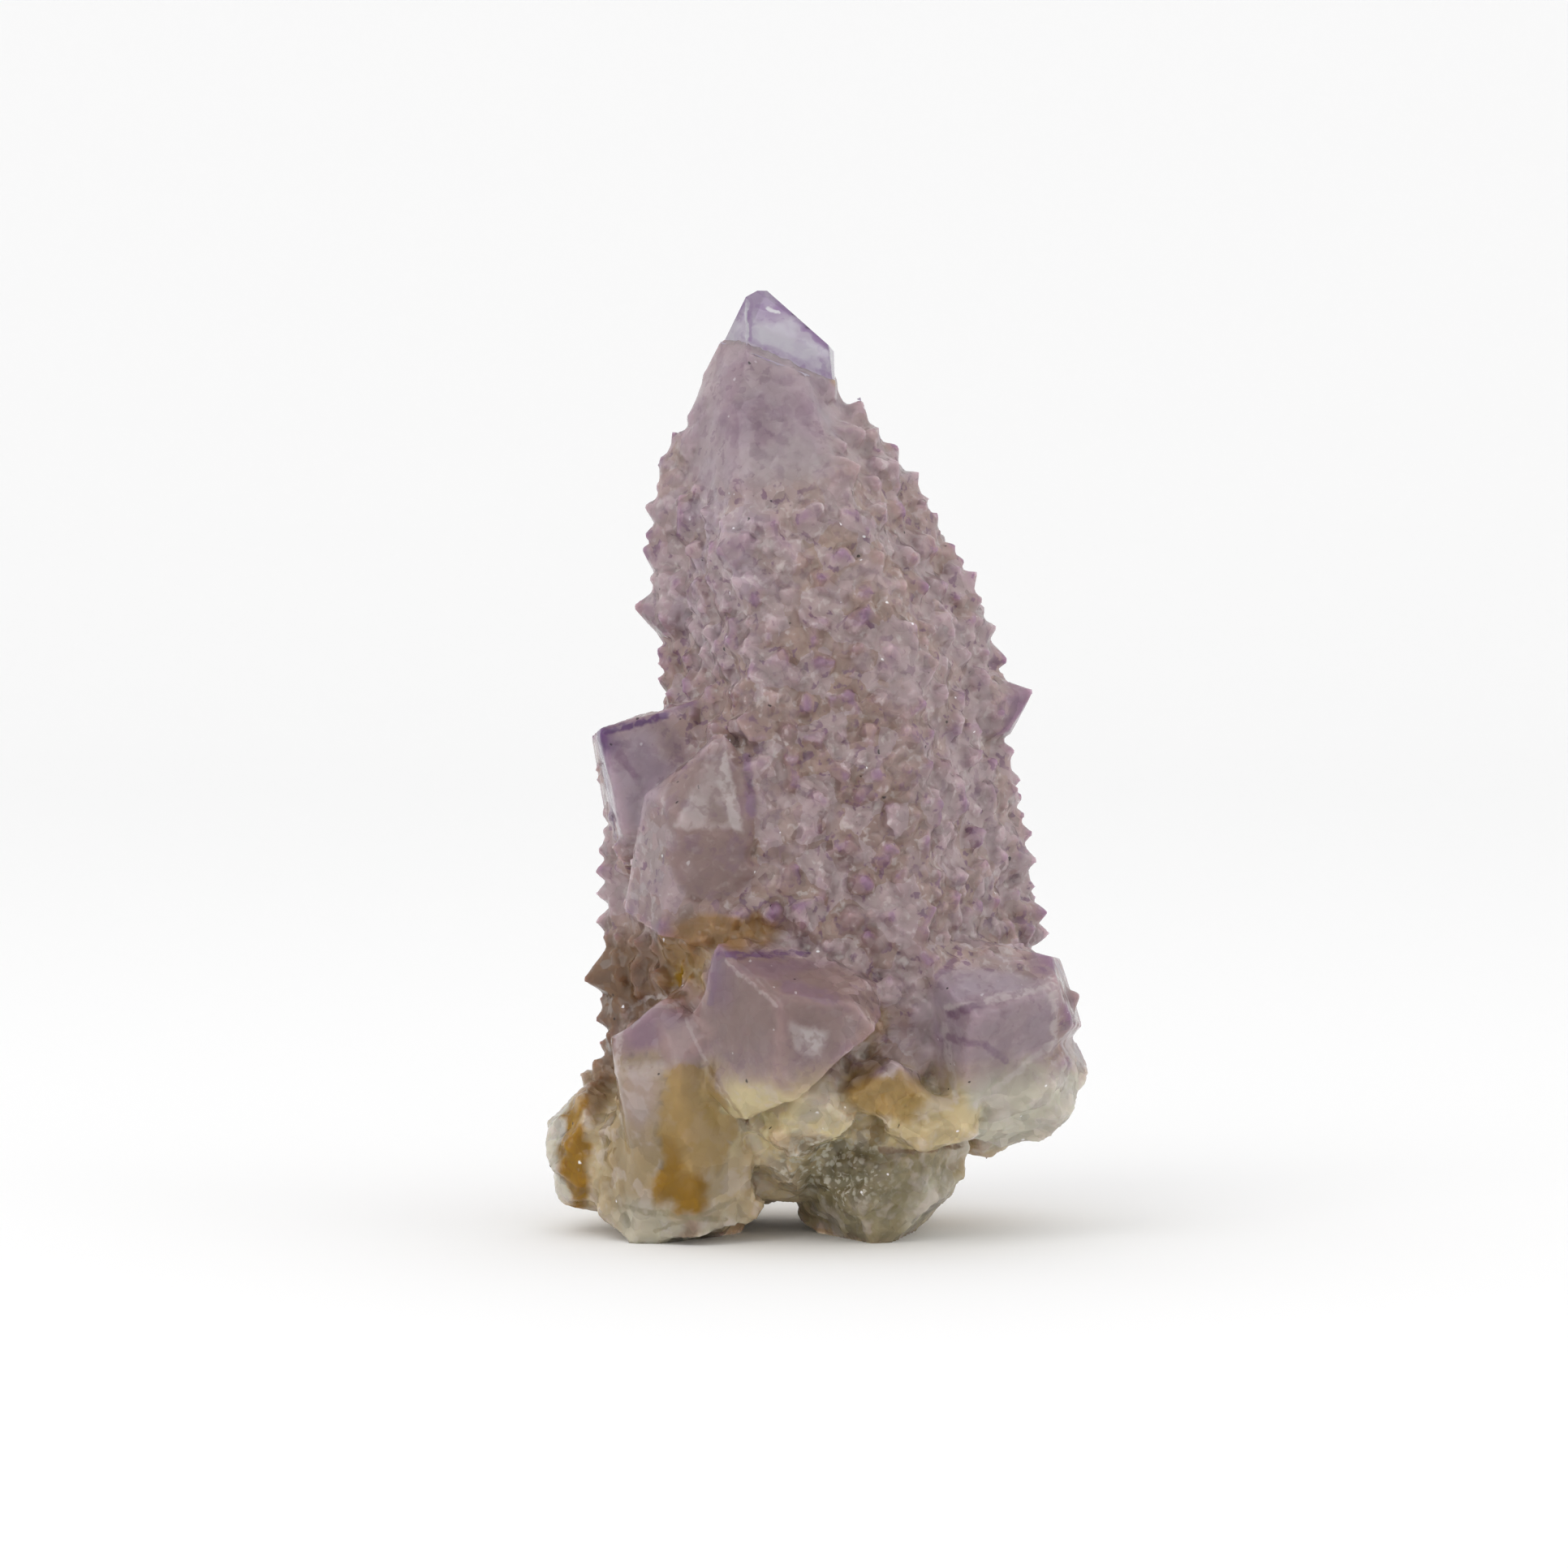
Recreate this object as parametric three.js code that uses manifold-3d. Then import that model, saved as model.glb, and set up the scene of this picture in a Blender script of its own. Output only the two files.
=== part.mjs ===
// Spirit quartz: one amethyst point, about 95 mm tall, whose sides are covered by a
// druse of small crystals, with larger crystals grown at its shoulder and round its
// foot, on a broken base. It all grew together, so it is one closed solid.
// Millimetres, +Z up, +X to the right of the best side, +Y away from that side.
import * as THREE from "three";
import { ConvexGeometry } from "three/addons/geometries/ConvexGeometry.js";
import { mergeVertices } from "three/addons/utils/BufferGeometryUtils.js";
import Module from "manifold-3d";

const wasm = await Module();
wasm.setup();

// Driving dimensions
const DRUSE_PITCH = 4.1; // distance between neighbours in the druse
const DRUSE_PROUD = 1.9; // how far a druse tip stands off the core
const DRUSE_LEAN = 0.3; // how far its axis leans to any side, as a slope
const DRUSE_LIFT = [0.1, 0.8]; // and how far it leans up
const DRUSE_GIRTH = [0.52, 0.66]; // its radius, as a share of the pitch
const DRUSE_LOW = 12; // the druse's lowest row
const DRUSE_HIGH = 82; // its highest row
const BARE_SIDES = [0, 1]; // the point's left front and front sides are bare
const BARE_FACE_LOW = 75.5; // from here up
const COAT_TOP_LEFT = 89.8; // the milky coat ends here at the left of the point
const COAT_TOP_RIGHT = 85.4; // and here at its right, below the clear cap
const WELD = 1e-3; // vertices nearer than this are one vertex
const SAME_CORNER = 0.02; // a crystal's faces may miss each other by this at a corner
const SIDE_BY_SIDE = 1e-3; // planes whose normals enclose less than this meet nowhere
const ROUNDING = 1e-6;
const FINEST = 0.12; // corners that stand out less than this are smoothed away
const LONGEST_MOVE = 1.5; // and move no further than this, unless they keep the shape
const LEAST_KEPT_TURN = 0.35; // a face may turn while they are, to this cosine at most

// Quartz habit: a six-sided prism ended by three main and three lesser pyramid faces,
// whose outward normals lie 51.8 degrees off the long axis.
const SIDES = 6;
const PYRAMID_NORMAL = THREE.MathUtils.degToRad(51.8);

// A small generator of repeatable numbers from 0 to 1.
function seededRandom(seed) {
  let state = seed;
  return () => {
    state = (state + 0x6d2b79f5) | 0;
    let t = Math.imul(state ^ (state >>> 15), 1 | state);
    t = (t + Math.imul(t ^ (t >>> 7), 61 | t)) ^ t;
    return ((t ^ (t >>> 14)) >>> 0) / 4294967296;
  };
}
const random = seededRandom(7);
const between = (low, high) => low + (high - low) * random();
const vector = (x, y, z) => new THREE.Vector3(x, y, z);

function solidOf(geometry) {
  geometry.deleteAttribute("normal");
  geometry.deleteAttribute("uv");
  const merged = mergeVertices(geometry, WELD);
  return new wasm.Manifold(
    new wasm.Mesh({
      numProp: 3,
      vertProperties: new Float32Array(merged.attributes.position.array),
      triVerts: new Uint32Array(merged.index.array),
    }),
  );
}

function geometryOf(solid) {
  const mesh = solid.getMesh();
  const geometry = new THREE.BufferGeometry();
  geometry.setAttribute("position", new THREE.BufferAttribute(mesh.vertProperties, 3));
  geometry.setIndex(new THREE.BufferAttribute(mesh.triVerts, 1));
  return geometry;
}

// Joins solids two by two, so that no join carries the whole specimen along.
function joined(solids) {
  let row = solids;
  while (row.length > 1) {
    const next = [];
    for (let i = 0; i < row.length; i += 2) {
      next.push(i + 1 < row.length ? row[i].add(row[i + 1]) : row[i]);
    }
    row = next;
  }
  return row[0];
}

// Keeps the outer skin, and leaves out the small pockets that crystals close off as they
// meet. The skin is what can be walked over from the highest corner, the tip.
function outerSkin(geometry) {
  const index = [...geometry.index.array];
  const joins = Array.from({ length: geometry.attributes.position.count }, () => []);
  index.forEach((corner, i) => {
    const next = index[i % 3 === 2 ? i - 2 : i + 1];
    joins[corner].push(next);
    joins[next].push(corner);
  });
  const height = (corner) => geometry.attributes.position.getZ(corner);
  const tip = index.reduce((a, b) => (height(b) > height(a) ? b : a));
  const skin = new Set([tip]);
  for (const corner of skin) joins[corner].forEach((next) => skin.add(next));
  geometry.setIndex(index.filter((corner, i) => skin.has(index[i - (i % 3)])));
  return geometry;
}

// Smooths away the corners that the joins leave on straight edges, in flat faces and at
// slivers. Each moves onto a neighbour that lies in all of its own faces, or nearly.
function withoutSlivers(geometry) {
  const index = geometry.index.array;
  const points = [];
  for (let i = 0; i < geometry.attributes.position.count; i++) {
    points.push(vector(0, 0, 0).fromBufferAttribute(geometry.attributes.position, i));
  }
  const fans = points.map(() => new Set());
  for (let i = 0; i < index.length; i += 3) {
    const face = [index[i], index[i + 1], index[i + 2]];
    face.forEach((corner) => fans[corner].add(face));
  }
  const flat = (face) => {
    const [a, b, c] = face.map((corner) => points[corner]);
    return b.clone().sub(a).cross(c.clone().sub(a));
  };
  const neighbours = (corner) => new Set([...fans[corner]].flat().filter((i) => i !== corner));

  // How far the surface shifts if one corner moves onto another, or Infinity if it may not.
  const shiftOf = (corner, target) => {
    const around = neighbours(target);
    const shared = [...neighbours(corner)].filter((i) => around.has(i));
    if (shared.length !== 2) return Infinity;
    const step = points[target].clone().sub(points[corner]);
    let shift = 0;
    for (const face of fans[corner]) {
      const before = flat(face).normalize();
      shift = Math.max(shift, Math.abs(before.dot(step)));
      if (face.includes(target)) continue;
      const after = flat(face.map((i) => (i === corner ? target : i))).normalize();
      if (after.dot(before) < LEAST_KEPT_TURN) return Infinity;
    }
    return shift > WELD && step.length() > LONGEST_MOVE ? Infinity : shift;
  };

  let moved = true;
  while (moved) {
    moved = false;
    for (let corner = 0; corner < points.length; corner++) {
      const choices = [...neighbours(corner)].map((i) => [shiftOf(corner, i), i]);
      if (choices.length === 0) continue;
      const [shift, target] = choices.reduce((a, b) => (b[0] < a[0] ? b : a));
      if (shift > FINEST) continue;
      for (const face of fans[corner]) {
        if (face.includes(target)) {
          face.forEach((i) => i !== corner && fans[i].delete(face));
        } else {
          face[face.indexOf(corner)] = target;
          fans[target].add(face);
        }
      }
      fans[corner].clear();
      moved = true;
    }
  }
  const kept = new Set(fans.flatMap((fan) => [...fan]));
  geometry.setIndex([...kept].flat());
  return geometry;
}

// The corners that a set of planes leaves, each plane as {normal, reach} from the origin.
function cornersOf(planes) {
  const corners = [];
  const rows = new THREE.Matrix3();
  for (let i = 0; i < planes.length; i++) {
    for (let j = i + 1; j < planes.length; j++) {
      for (let k = j + 1; k < planes.length; k++) {
        const [a, b, c] = [planes[i], planes[j], planes[k]];
        rows.set(...a.normal.toArray(), ...b.normal.toArray(), ...c.normal.toArray());
        if (Math.abs(rows.determinant()) < SIDE_BY_SIDE) continue;
        const corner = vector(a.reach, b.reach, c.reach).applyMatrix3(rows.invert());
        const inside = planes.every((p) => p.normal.dot(corner) <= p.reach + ROUNDING);
        const seen = corners.some((other) => other.distanceTo(corner) < SAME_CORNER);
        if (inside && !seen) corners.push(corner);
      }
    }
  }
  return corners;
}

// One crystal about +Z with its tip at the origin and a main face looking along +X.
// Blunt is how far the lesser pyramid faces stay clear of the tip, in radii: at 0 all six
// meet there, and past about 0.8 only the three main faces are left, as on a cube's corner.
function crystalGeometry({ radius, length, blunt = 0, uneven = 0 }) {
  const planes = [{ normal: vector(0, 0, -1), reach: length }];
  for (let side = 0; side < SIDES; side++) {
    const angle = (side * 2 * Math.PI) / SIDES;
    const out = vector(Math.cos(angle), Math.sin(angle), 0);
    const reach = radius * between(1 - uneven, 1 + uneven);
    planes.push({ normal: out, reach });
    const slope = out.clone().multiplyScalar(Math.sin(PYRAMID_NORMAL));
    slope.z = Math.cos(PYRAMID_NORMAL);
    planes.push({ normal: slope, reach: side % 2 ? radius * blunt : 0 });
  }
  return new ConvexGeometry(cornersOf(planes));
}

// A crystal whose tip is at a point, whose axis points one way, and whose first main
// face looks another way, as nearly as the axis lets it.
function crystal({ tip, axis, facing, ...shape }) {
  const up = vector(...axis).normalize();
  const across = vector(...facing).projectOnPlane(up).normalize();
  const turn = new THREE.Matrix4().makeBasis(across, up.clone().cross(across), up);
  turn.setPosition(...tip);
  return solidOf(crystalGeometry(shape).applyMatrix4(turn));
}

// A block of broken quartz: an ellipsoid chipped flat by fracture faces that are spread
// evenly over it on a spiral. Each is off its place by up to the scatter, and takes off up
// to the chip, as a share of the ellipsoid.
const GOLDEN_ANGLE = Math.PI * (3 - Math.sqrt(5));

function block({ centre, radii, faces = 18, chip = 0.16, scatter = 0.2, seed }) {
  const own = seededRandom(seed);
  const off = () => scatter * (2 * own() - 1);
  const planes = [];
  for (let i = 0; i < faces; i++) {
    const z = 1 - (2 * i + 1) / faces;
    const angle = i * GOLDEN_ANGLE + seed;
    const ring = Math.sqrt(1 - z * z);
    const normal = vector(ring * Math.cos(angle), ring * Math.sin(angle), z);
    normal.add(vector(off(), off(), off())).normalize();
    const support = normal.clone().multiply(vector(...radii)).length();
    planes.push({ normal, reach: support * (1 - chip * own()) });
  }
  return solidOf(new ConvexGeometry(cornersOf(planes)).translate(...centre));
}

// The core that the druse grows on: flat-sided rings from the foot to the point.
// Each is [height, left, right, front, back].
const CORE_RINGS = [
  [4, -18.5, 8.5, -9, 11],
  [14, -21, 20, -13, 14],
  [22, -20.4, 21, -15.6, 15.2],
  [32, -20.8, 21, -16.4, 15.4],
  [42, -19.6, 19.6, -16, 14.8],
  [50, -15.6, 18.2, -15.4, 14.2],
  [56, -14, 17.2, -14.8, 13.6],
  [62, -14.2, 15.6, -14, 12.6],
  [68, -15, 12.8, -13, 11.4],
  [76, -14, 8.4, -11.6, 9.6],
  [84, -12.6, 2.6, -8, 6.8],
];
const COAT_TOP_RING = [87, -9.8, 2.1, -5.4, 4.8];
const FLAT_SHARE = 0.26; // where the front and back faces start, as a share of the width
const EDGE_DEPTH = -1; // how far forward the left and right edges of the core lie

function ringPoints([height, left, right, front, back]) {
  const inset = (right - left) * FLAT_SHARE;
  return [
    vector(left, EDGE_DEPTH, height),
    vector(left + inset, front, height),
    vector(right - inset, front, height),
    vector(right, EDGE_DEPTH, height),
    vector(right - inset, back, height),
    vector(left + inset, back, height),
  ];
}

// The coat's slanting end, where the clear cap grows out of it.
function coatTopPoints() {
  const [, left, right] = COAT_TOP_RING;
  return ringPoints(COAT_TOP_RING).map((point) => {
    const share = (point.x - left) / (right - left);
    point.z = THREE.MathUtils.lerp(COAT_TOP_LEFT, COAT_TOP_RIGHT, share);
    return point;
  });
}

function coreSolid() {
  const rings = [...CORE_RINGS.map(ringPoints), coatTopPoints()];
  const stages = [];
  for (let i = 0; i + 1 < rings.length; i++) {
    stages.push(solidOf(new ConvexGeometry([...rings[i], ...rings[i + 1]])));
  }
  return joined(stages);
}

// The core's ring at any height, by a straight blend of the two rings around it.
function ringAt(height) {
  const above = CORE_RINGS.findIndex((ring) => ring[0] >= height);
  const [low, high] = [CORE_RINGS[above - 1], CORE_RINGS[above]];
  const share = (height - low[0]) / (high[0] - low[0]);
  return low.map((value, i) => THREE.MathUtils.lerp(value, high[i], share));
}

// The clear cap: a short ridge for its tip, a narrow left and a wide right face in front,
// and a steep right shoulder.
function capSolid() {
  const ridge = [vector(-7.2, -0.9, 94.3), vector(-6, -0.3, 94.95), vector(-5, 0.3, 94.95)];
  const shoulder = [vector(1.4, -2.8, 89.4), vector(1.95, -0.4, 88.8), vector(0.6, 3.4, 88.2)];
  const foot = [
    vector(-12.4, -1, 84),
    vector(-7, -7.6, 84),
    vector(2, -4.2, 84),
    vector(2.1, 1, 84),
    vector(0, 5.6, 84),
    vector(-9.4, 5.8, 84),
  ];
  return solidOf(new ConvexGeometry([...ridge, ...shoulder, ...foot]));
}

// Crystals that stand out on the left and right outlines.
// Each is [tip across, tip height, radius, angle of its axis above the horizontal].
const LEFT_TEETH = [
  [-14.7, 80.8, 2.2, 50],
  [-15.9, 78.4, 2.4, 50],
  [-16.4, 75.4, 1, 25],
  [-17.6, 73.3, 2.1, 15],
  [-17.6, 70.3, 1.4, 0],
  [-17.8, 69.1, 1.8, 22],
  [-17.1, 66.1, 1.4, 15],
  [-18.7, 63.1, 3, 6],
  [-15.5, 60.3, 1, 10],
  [-16.3, 58.6, 1.1, 5],
  [-16.2, 57.4, 0.9, 0],
  [-16.3, 55.8, 1.4, 8],
  [-15.8, 53.5, 1, 0],
  [-21.9, 40.6, 1.1, 20],
  [-22.4, 38.4, 1.4, 0],
  [-22.6, 36.4, 1.3, 0],
  [-22.5, 34, 1.6, -5],
  [-22.6, 31.2, 1.6, 0],
  [-23.8, 25.2, 3.1, -12],
  [-22.6, 21.2, 1.8, -10],
  [-22.2, 19, 1.8, 20],
  [-22.7, 17.2, 1.6, 40],
  [-23.8, 15.8, 1.9, 45],
];
const RIGHT_TEETH = [
  [4.7, 84.2, 2.2, 64],
  [6.4, 81.4, 1.8, 50],
  [8.4, 79.6, 2.2, 48],
  [10.5, 76.8, 2, 40],
  [11.5, 74.1, 1.2, 15],
  [12.4, 72.7, 2, 45],
  [14.2, 69.5, 1.9, 35],
  [15.2, 67.8, 1, 15],
  [16.3, 66.7, 1.5, 40],
  [17.1, 63.8, 2, 5],
  [18.4, 61.2, 1.7, 20],
  [19.6, 57.6, 1.6, -5],
  [19.3, 56.1, 1, 10],
  [22, 54.7, 3.1, 22],
  [20.3, 48.6, 1.4, 10],
  [20.9, 45.6, 1.5, 0],
  [21.1, 43.8, 1.2, 0],
  [21.3, 42, 1.4, 5],
  [22.1, 40.2, 1.5, 5],
  [22.5, 37.4, 1.8, -5],
  [22.3, 34.8, 1.2, 0],
  [23.6, 32.2, 1.8, 5],
  [23.8, 30, 1.2, 0],
];
const TOOTH_REACH = 3.4; // a tooth's length, in radii
const TOOTH_LEAN = 0.12; // how far its axis leans to the front or back, as a slope
const TOOTH_STAGGER = 0.8; // how far it stands before or behind the edge of the core

function teeth(rows, side) {
  return rows.map(([across, height, radius, angle]) => {
    const lift = THREE.MathUtils.degToRad(angle);
    return crystal({
      tip: [across, EDGE_DEPTH + between(-TOOTH_STAGGER, TOOTH_STAGGER), height],
      axis: [side * Math.cos(lift), between(-TOOTH_LEAN, TOOTH_LEAN), Math.sin(lift)],
      facing: [between(-0.3, 0.3), -1, 1],
      radius,
      length: radius * TOOTH_REACH,
    });
  });
}

// Large crystals, each named for where it grew.
const LARGE_CRYSTALS = {
  leftShoulder: {
    tip: [-21.8, -9.5, 51.2],
    axis: [-0.66, -0.54, 0.5],
    facing: [0.3, -1, 0],
    radius: 9,
    length: 20,
    blunt: 0.9,
  },
  frontShoulder: {
    tip: [-9.3, -15.6, 51],
    axis: [0.16, -0.27, 0.95],
    facing: [0.1, -1, 0],
    radius: 6,
    length: 20,
    blunt: 0.05,
  },
  footLeft: {
    tip: [-15.2, -15, 25.4],
    axis: [-0.13, -0.22, 0.97],
    facing: [-0.5, -1, 0],
    radius: 5.9,
    length: 24,
    blunt: 0.4,
  },
  footCentre: {
    tip: [-10, -19.5, 30.4],
    axis: [-0.62, -0.22, 0.75],
    facing: [-0.62, 0.6, 0.5],
    radius: 9,
    length: 15,
    blunt: 0.85,
  },
  footRight: {
    tip: [15.5, -22.5, 23.6],
    axis: [-0.14, -0.98, 0.1],
    facing: [0.2, 0, 1],
    radius: 7.6,
    length: 18,
    blunt: 0.3,
    uneven: 0.08,
  },
  rightRim: {
    tip: [26.4, -9, 24.6],
    axis: [0.75, -0.35, 0.45],
    facing: [0, -1, 0.2],
    radius: 4.6,
    length: 14,
    blunt: 0.8,
  },
  backLeft: {
    tip: [-8.5, 21.5, 33],
    axis: [-0.3, 0.55, 0.78],
    facing: [-0.2, 1, -0.4],
    radius: 6.2,
    length: 20,
    blunt: 0.5,
  },
  backRight: {
    tip: [14.5, 19.5, 22],
    axis: [0.35, 0.85, 0.4],
    facing: [0, 0.4, -1],
    radius: 6.6,
    length: 20,
    blunt: 0.4,
  },
  backShoulder: {
    tip: [7, 16.8, 50],
    axis: [0.16, 0.3, 0.94],
    facing: [0.2, 1, 0],
    radius: 4.4,
    length: 16,
    blunt: 0.3,
  },
};

// The broken base: blocks of massive quartz, standing on a left and a right foot.
const BASE_BLOCKS = [
  { centre: [-14.5, -5.5, 7.4], radii: [8.8, 11, 9.4], seed: 11 },
  { centre: [-14, 6.5, 7.6], radii: [8.8, 9.5, 9.4], seed: 12 },
  { centre: [-22.4, -3, 8], radii: [4.6, 7, 6.4], seed: 13 },
  { centre: [5.6, -6, 8], radii: [8.2, 9.5, 9.4], seed: 14 },
  { centre: [5.5, 6, 8], radii: [8.2, 8.5, 9.4], seed: 15 },
  { centre: [-3, -1.5, 13], radii: [13, 15.5, 8.4], seed: 16 },
  { centre: [18.3, -9, 16.6], radii: [8, 9, 6.2], seed: 17 },
  { centre: [17.5, 5, 16], radii: [8.2, 9.5, 6.4], seed: 18 },
  { centre: [11, -15, 12.6], radii: [5.2, 4.6, 3], seed: 19, faces: 14 },
  { centre: [6.5, -16, 15.6], radii: [4.4, 4, 2.4], seed: 20, faces: 12 },
  { centre: [-1.5, -14.5, 13.5], radii: [5, 5.5, 4.5], seed: 21, faces: 14 },
];

// The druse: rows of small pyramids round the core, each pointing out of its face and
// a little up, with its place, size and lean all slightly off the row's.
function druse() {
  const crystals = [];
  const rise = DRUSE_PITCH * Math.sin(Math.PI / 3);
  let shift = 0.25;
  for (let height = DRUSE_LOW; height < DRUSE_HIGH; height += rise) {
    const corners = ringPoints(ringAt(height));
    shift = -shift;
    for (let side = 0; side < SIDES; side++) {
      if (BARE_SIDES.includes(side) && height > BARE_FACE_LOW) continue;
      const [start, end] = [corners[side], corners[(side + 1) % SIDES]];
      const along = end.clone().sub(start);
      const out = vector(along.y, -along.x, 0).normalize();
      const count = Math.max(1, Math.round(along.length() / DRUSE_PITCH));
      for (let i = 0; i < count; i++) {
        const share = (i + 0.5 + shift + between(-0.2, 0.2)) / count;
        const root = start.clone().addScaledVector(along, share);
        root.z += between(-0.25, 0.25) * DRUSE_PITCH;
        const lean = () => between(-DRUSE_LEAN, DRUSE_LEAN);
        const axis = out.clone();
        axis.add(vector(lean(), lean(), between(...DRUSE_LIFT))).normalize();
        const tip = root.addScaledVector(axis, DRUSE_PROUD * between(0.75, 1.2));
        crystals.push(
          crystal({
            tip: tip.toArray(),
            axis: axis.toArray(),
            facing: [between(-1, 1), between(-1, 1), between(-1, 1)],
            radius: DRUSE_PITCH * between(...DRUSE_GIRTH),
            length: DRUSE_PITCH,
            blunt: random() < 0.5 ? 0 : 1,
          }),
        );
      }
    }
  }
  return crystals;
}

// Cuts the foot off flat, so that the specimen stands.
const SLAB_SIZE = 200; // wider than the specimen

function cutFlat(solid) {
  const slab = new THREE.BoxGeometry(SLAB_SIZE, SLAB_SIZE, SLAB_SIZE);
  return solid.subtract(solidOf(slab.translate(0, 0, -SLAB_SIZE / 2)));
}

// Sets the origin below the middle of the whole specimen.
function centred(geometry) {
  geometry.computeBoundingBox();
  const middle = geometry.boundingBox.getCenter(vector(0, 0, 0));
  return geometry.translate(-middle.x, -middle.y, -geometry.boundingBox.min.z);
}

const grown = joined([
  coreSolid(),
  capSolid(),
  ...Object.values(LARGE_CRYSTALS).map(crystal),
  ...BASE_BLOCKS.map(block),
  ...teeth(LEFT_TEETH, -1),
  ...teeth(RIGHT_TEETH, 1),
  ...druse(),
]);

const amethyst = new THREE.MeshStandardMaterial({
  color: 0xa595a0,
  roughness: 0.3,
  metalness: 0,
  flatShading: true,
});
const trimmed = solidOf(withoutSlivers(outerSkin(geometryOf(grown))));
const specimen = new THREE.Mesh(centred(geometryOf(cutFlat(trimmed))), amethyst);
specimen.name = "spirit_quartz";

const group = new THREE.Group();
group.add(specimen);
export default group;
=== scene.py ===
"""Spirit quartz: the dressed specimen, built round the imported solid.

The solid carries the point, the larger crystals and the coarse druse. Here it is parted
into a clear cap and a milky body. The body gets its fine crystals, chips and grains, is
grown together into one even skin, and then has its edges worn and its base broken. Places
and sizes are written in millimetres, and MM turns them into Blender's metres.
"""
import math
import random

import bmesh
import bpy
import numpy as np
from mathutils import Matrix, Vector, noise


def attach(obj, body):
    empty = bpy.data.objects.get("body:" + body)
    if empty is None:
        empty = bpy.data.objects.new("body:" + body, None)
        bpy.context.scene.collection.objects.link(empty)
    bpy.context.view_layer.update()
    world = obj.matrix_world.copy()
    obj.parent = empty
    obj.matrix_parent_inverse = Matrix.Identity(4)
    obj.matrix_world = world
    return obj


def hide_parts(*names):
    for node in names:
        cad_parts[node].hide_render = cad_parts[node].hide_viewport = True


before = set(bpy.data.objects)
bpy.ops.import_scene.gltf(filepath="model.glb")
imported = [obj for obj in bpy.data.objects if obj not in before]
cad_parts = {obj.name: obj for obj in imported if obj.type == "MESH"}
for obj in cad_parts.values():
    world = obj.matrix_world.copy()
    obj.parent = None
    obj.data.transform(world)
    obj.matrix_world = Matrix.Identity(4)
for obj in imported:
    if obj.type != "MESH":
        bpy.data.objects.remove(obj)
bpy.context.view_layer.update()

MM = 0.001
SEED = 11
rng = np.random.default_rng(SEED)
random.seed(SEED)
noise.seed_set(SEED)

NODE = "spirit_quartz"
UP = Vector((0, 0, 1))

# The height of the tip, and the heights between which the druse grows
TOP = 95
DRUSE_LOW = 14.0
DRUSE_HIGH = 83.0

# The broken base: the flat cut that it stands on and the fracture surface above that, where
# the fracture ends, and where the base's colours fade into the point's
CUT_HEIGHT = 0.25
CUT_EDGE = (0.3, 1.6)
BASE_TOP = 17.0
BASE_FADE_LOW = 15.0
BASE_FADE_HIGH = 20.0

# The middle of the specimen's foot, and how far its tip leans to the left of it
AXIS_FOOT = 0.5
LEAN = 6.5
LEAN_FROM = 20

# The bare face at the front: its lowest height, how far back it goes, and its right edge,
# which goes through one place and runs outwards below it
BARE_LOW = 75.5
BARE_BACK = -1
BARE_EDGE_X = 3.5
BARE_EDGE_Z = 84
BARE_EDGE_SLOPE = 0.45

# The clear cap ends at a step in the front face, which runs through these three places. It
# is a little slimmer than the body, and its root is sunk into it.
STEP = [Vector((-10.6, 0.0, 90.1)), Vector((-6.7, 0.0, 90.0)), Vector((2.0, 0.0, 86.0))]
STEP_DEPTHWAYS = Vector((0.0, 1.0, 0.12))
STEP_PLANES = [(start, (end - start).cross(STEP_DEPTHWAYS).normalized())
               for start, end in zip(STEP, STEP[1:])]
CAP_ROOT = 0.8
CAP_SLIM = 0.97
CAP_AXIS = Vector((-4.6, 0.4, 0.0))

# The body's skin: the size of its faces as it grows together, and its limit on triangles
SKIN_GRAIN = 0.37
MOST_TRIANGLES = 190000

# Clean crystals that the fine druse keeps off: each is (centre, radius)
CLEAN_SPHERES = [
    ((-18.5, -9.0, 47.0), 7.0),
    ((-20.0, -9.0, 42.5), 4.0),
    ((-10.5, -17.0, 44.5), 5.6),
    ((-10.0, -17.5, 38.5), 5.2),
    ((-15.0, -16.5, 15.0), 9.0),
    ((-14.5, -15.5, 8.5), 8.5),
    ((-4.5, -19.0, 21.5), 9.0),
    ((16.5, -18.0, 20.5), 9.0),
    ((24.5, -8.0, 22.0), 4.5),
    ((-9.0, 19.0, 26.0), 8.0),
    ((14.0, 18.0, 20.5), 8.0),
    ((6.5, 17.5, 44.0), 6.0),
]

# Places whose edges are worn round: (centre, radius, rounds of easing)
WORN_SPHERES = [
    ((-18.5, -9.0, 47.0), 8.0, 4),
    ((-10.5, -17.0, 41.5), 9.0, 26),
    ((-15.0, -16.5, 22.0), 7.0, 50),
    ((-15.0, -16.5, 10.0), 9.0, 30),
    ((-4.5, -19.0, 21.5), 10.0, 20),
    ((16.5, -18.0, 20.5), 10.0, 40),
    ((9.5, -15.0, 13.5), 7.0, 16),
    ((-6.0, -9.0, 80.5), 9.5, 60),
    ((-11.0, -4.0, 83.0), 6.0, 30),
    ((-9.0, 19.0, 26.0), 8.0, 8),
    ((14.0, 18.0, 20.5), 8.0, 8),
]


# Meshes in and out of Blender

def object_from(mesh, name):
    piece = bpy.data.objects.new(name, mesh)
    bpy.context.scene.collection.objects.link(piece)
    return piece


def mesh_from(sheet, name):
    mesh = bpy.data.meshes.new(name)
    sheet.to_mesh(mesh)
    sheet.free()
    return mesh


def corners_of(mesh):
    places = np.empty(len(mesh.vertices) * 3)
    mesh.vertices.foreach_get("co", places)
    return places.reshape(-1, 3)


def set_values(mesh, name, values):
    if name not in mesh.attributes:
        mesh.attributes.new(name, "FLOAT", "POINT")
    mesh.attributes[name].data.foreach_set("value", np.asarray(values, dtype=np.float32))


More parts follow.
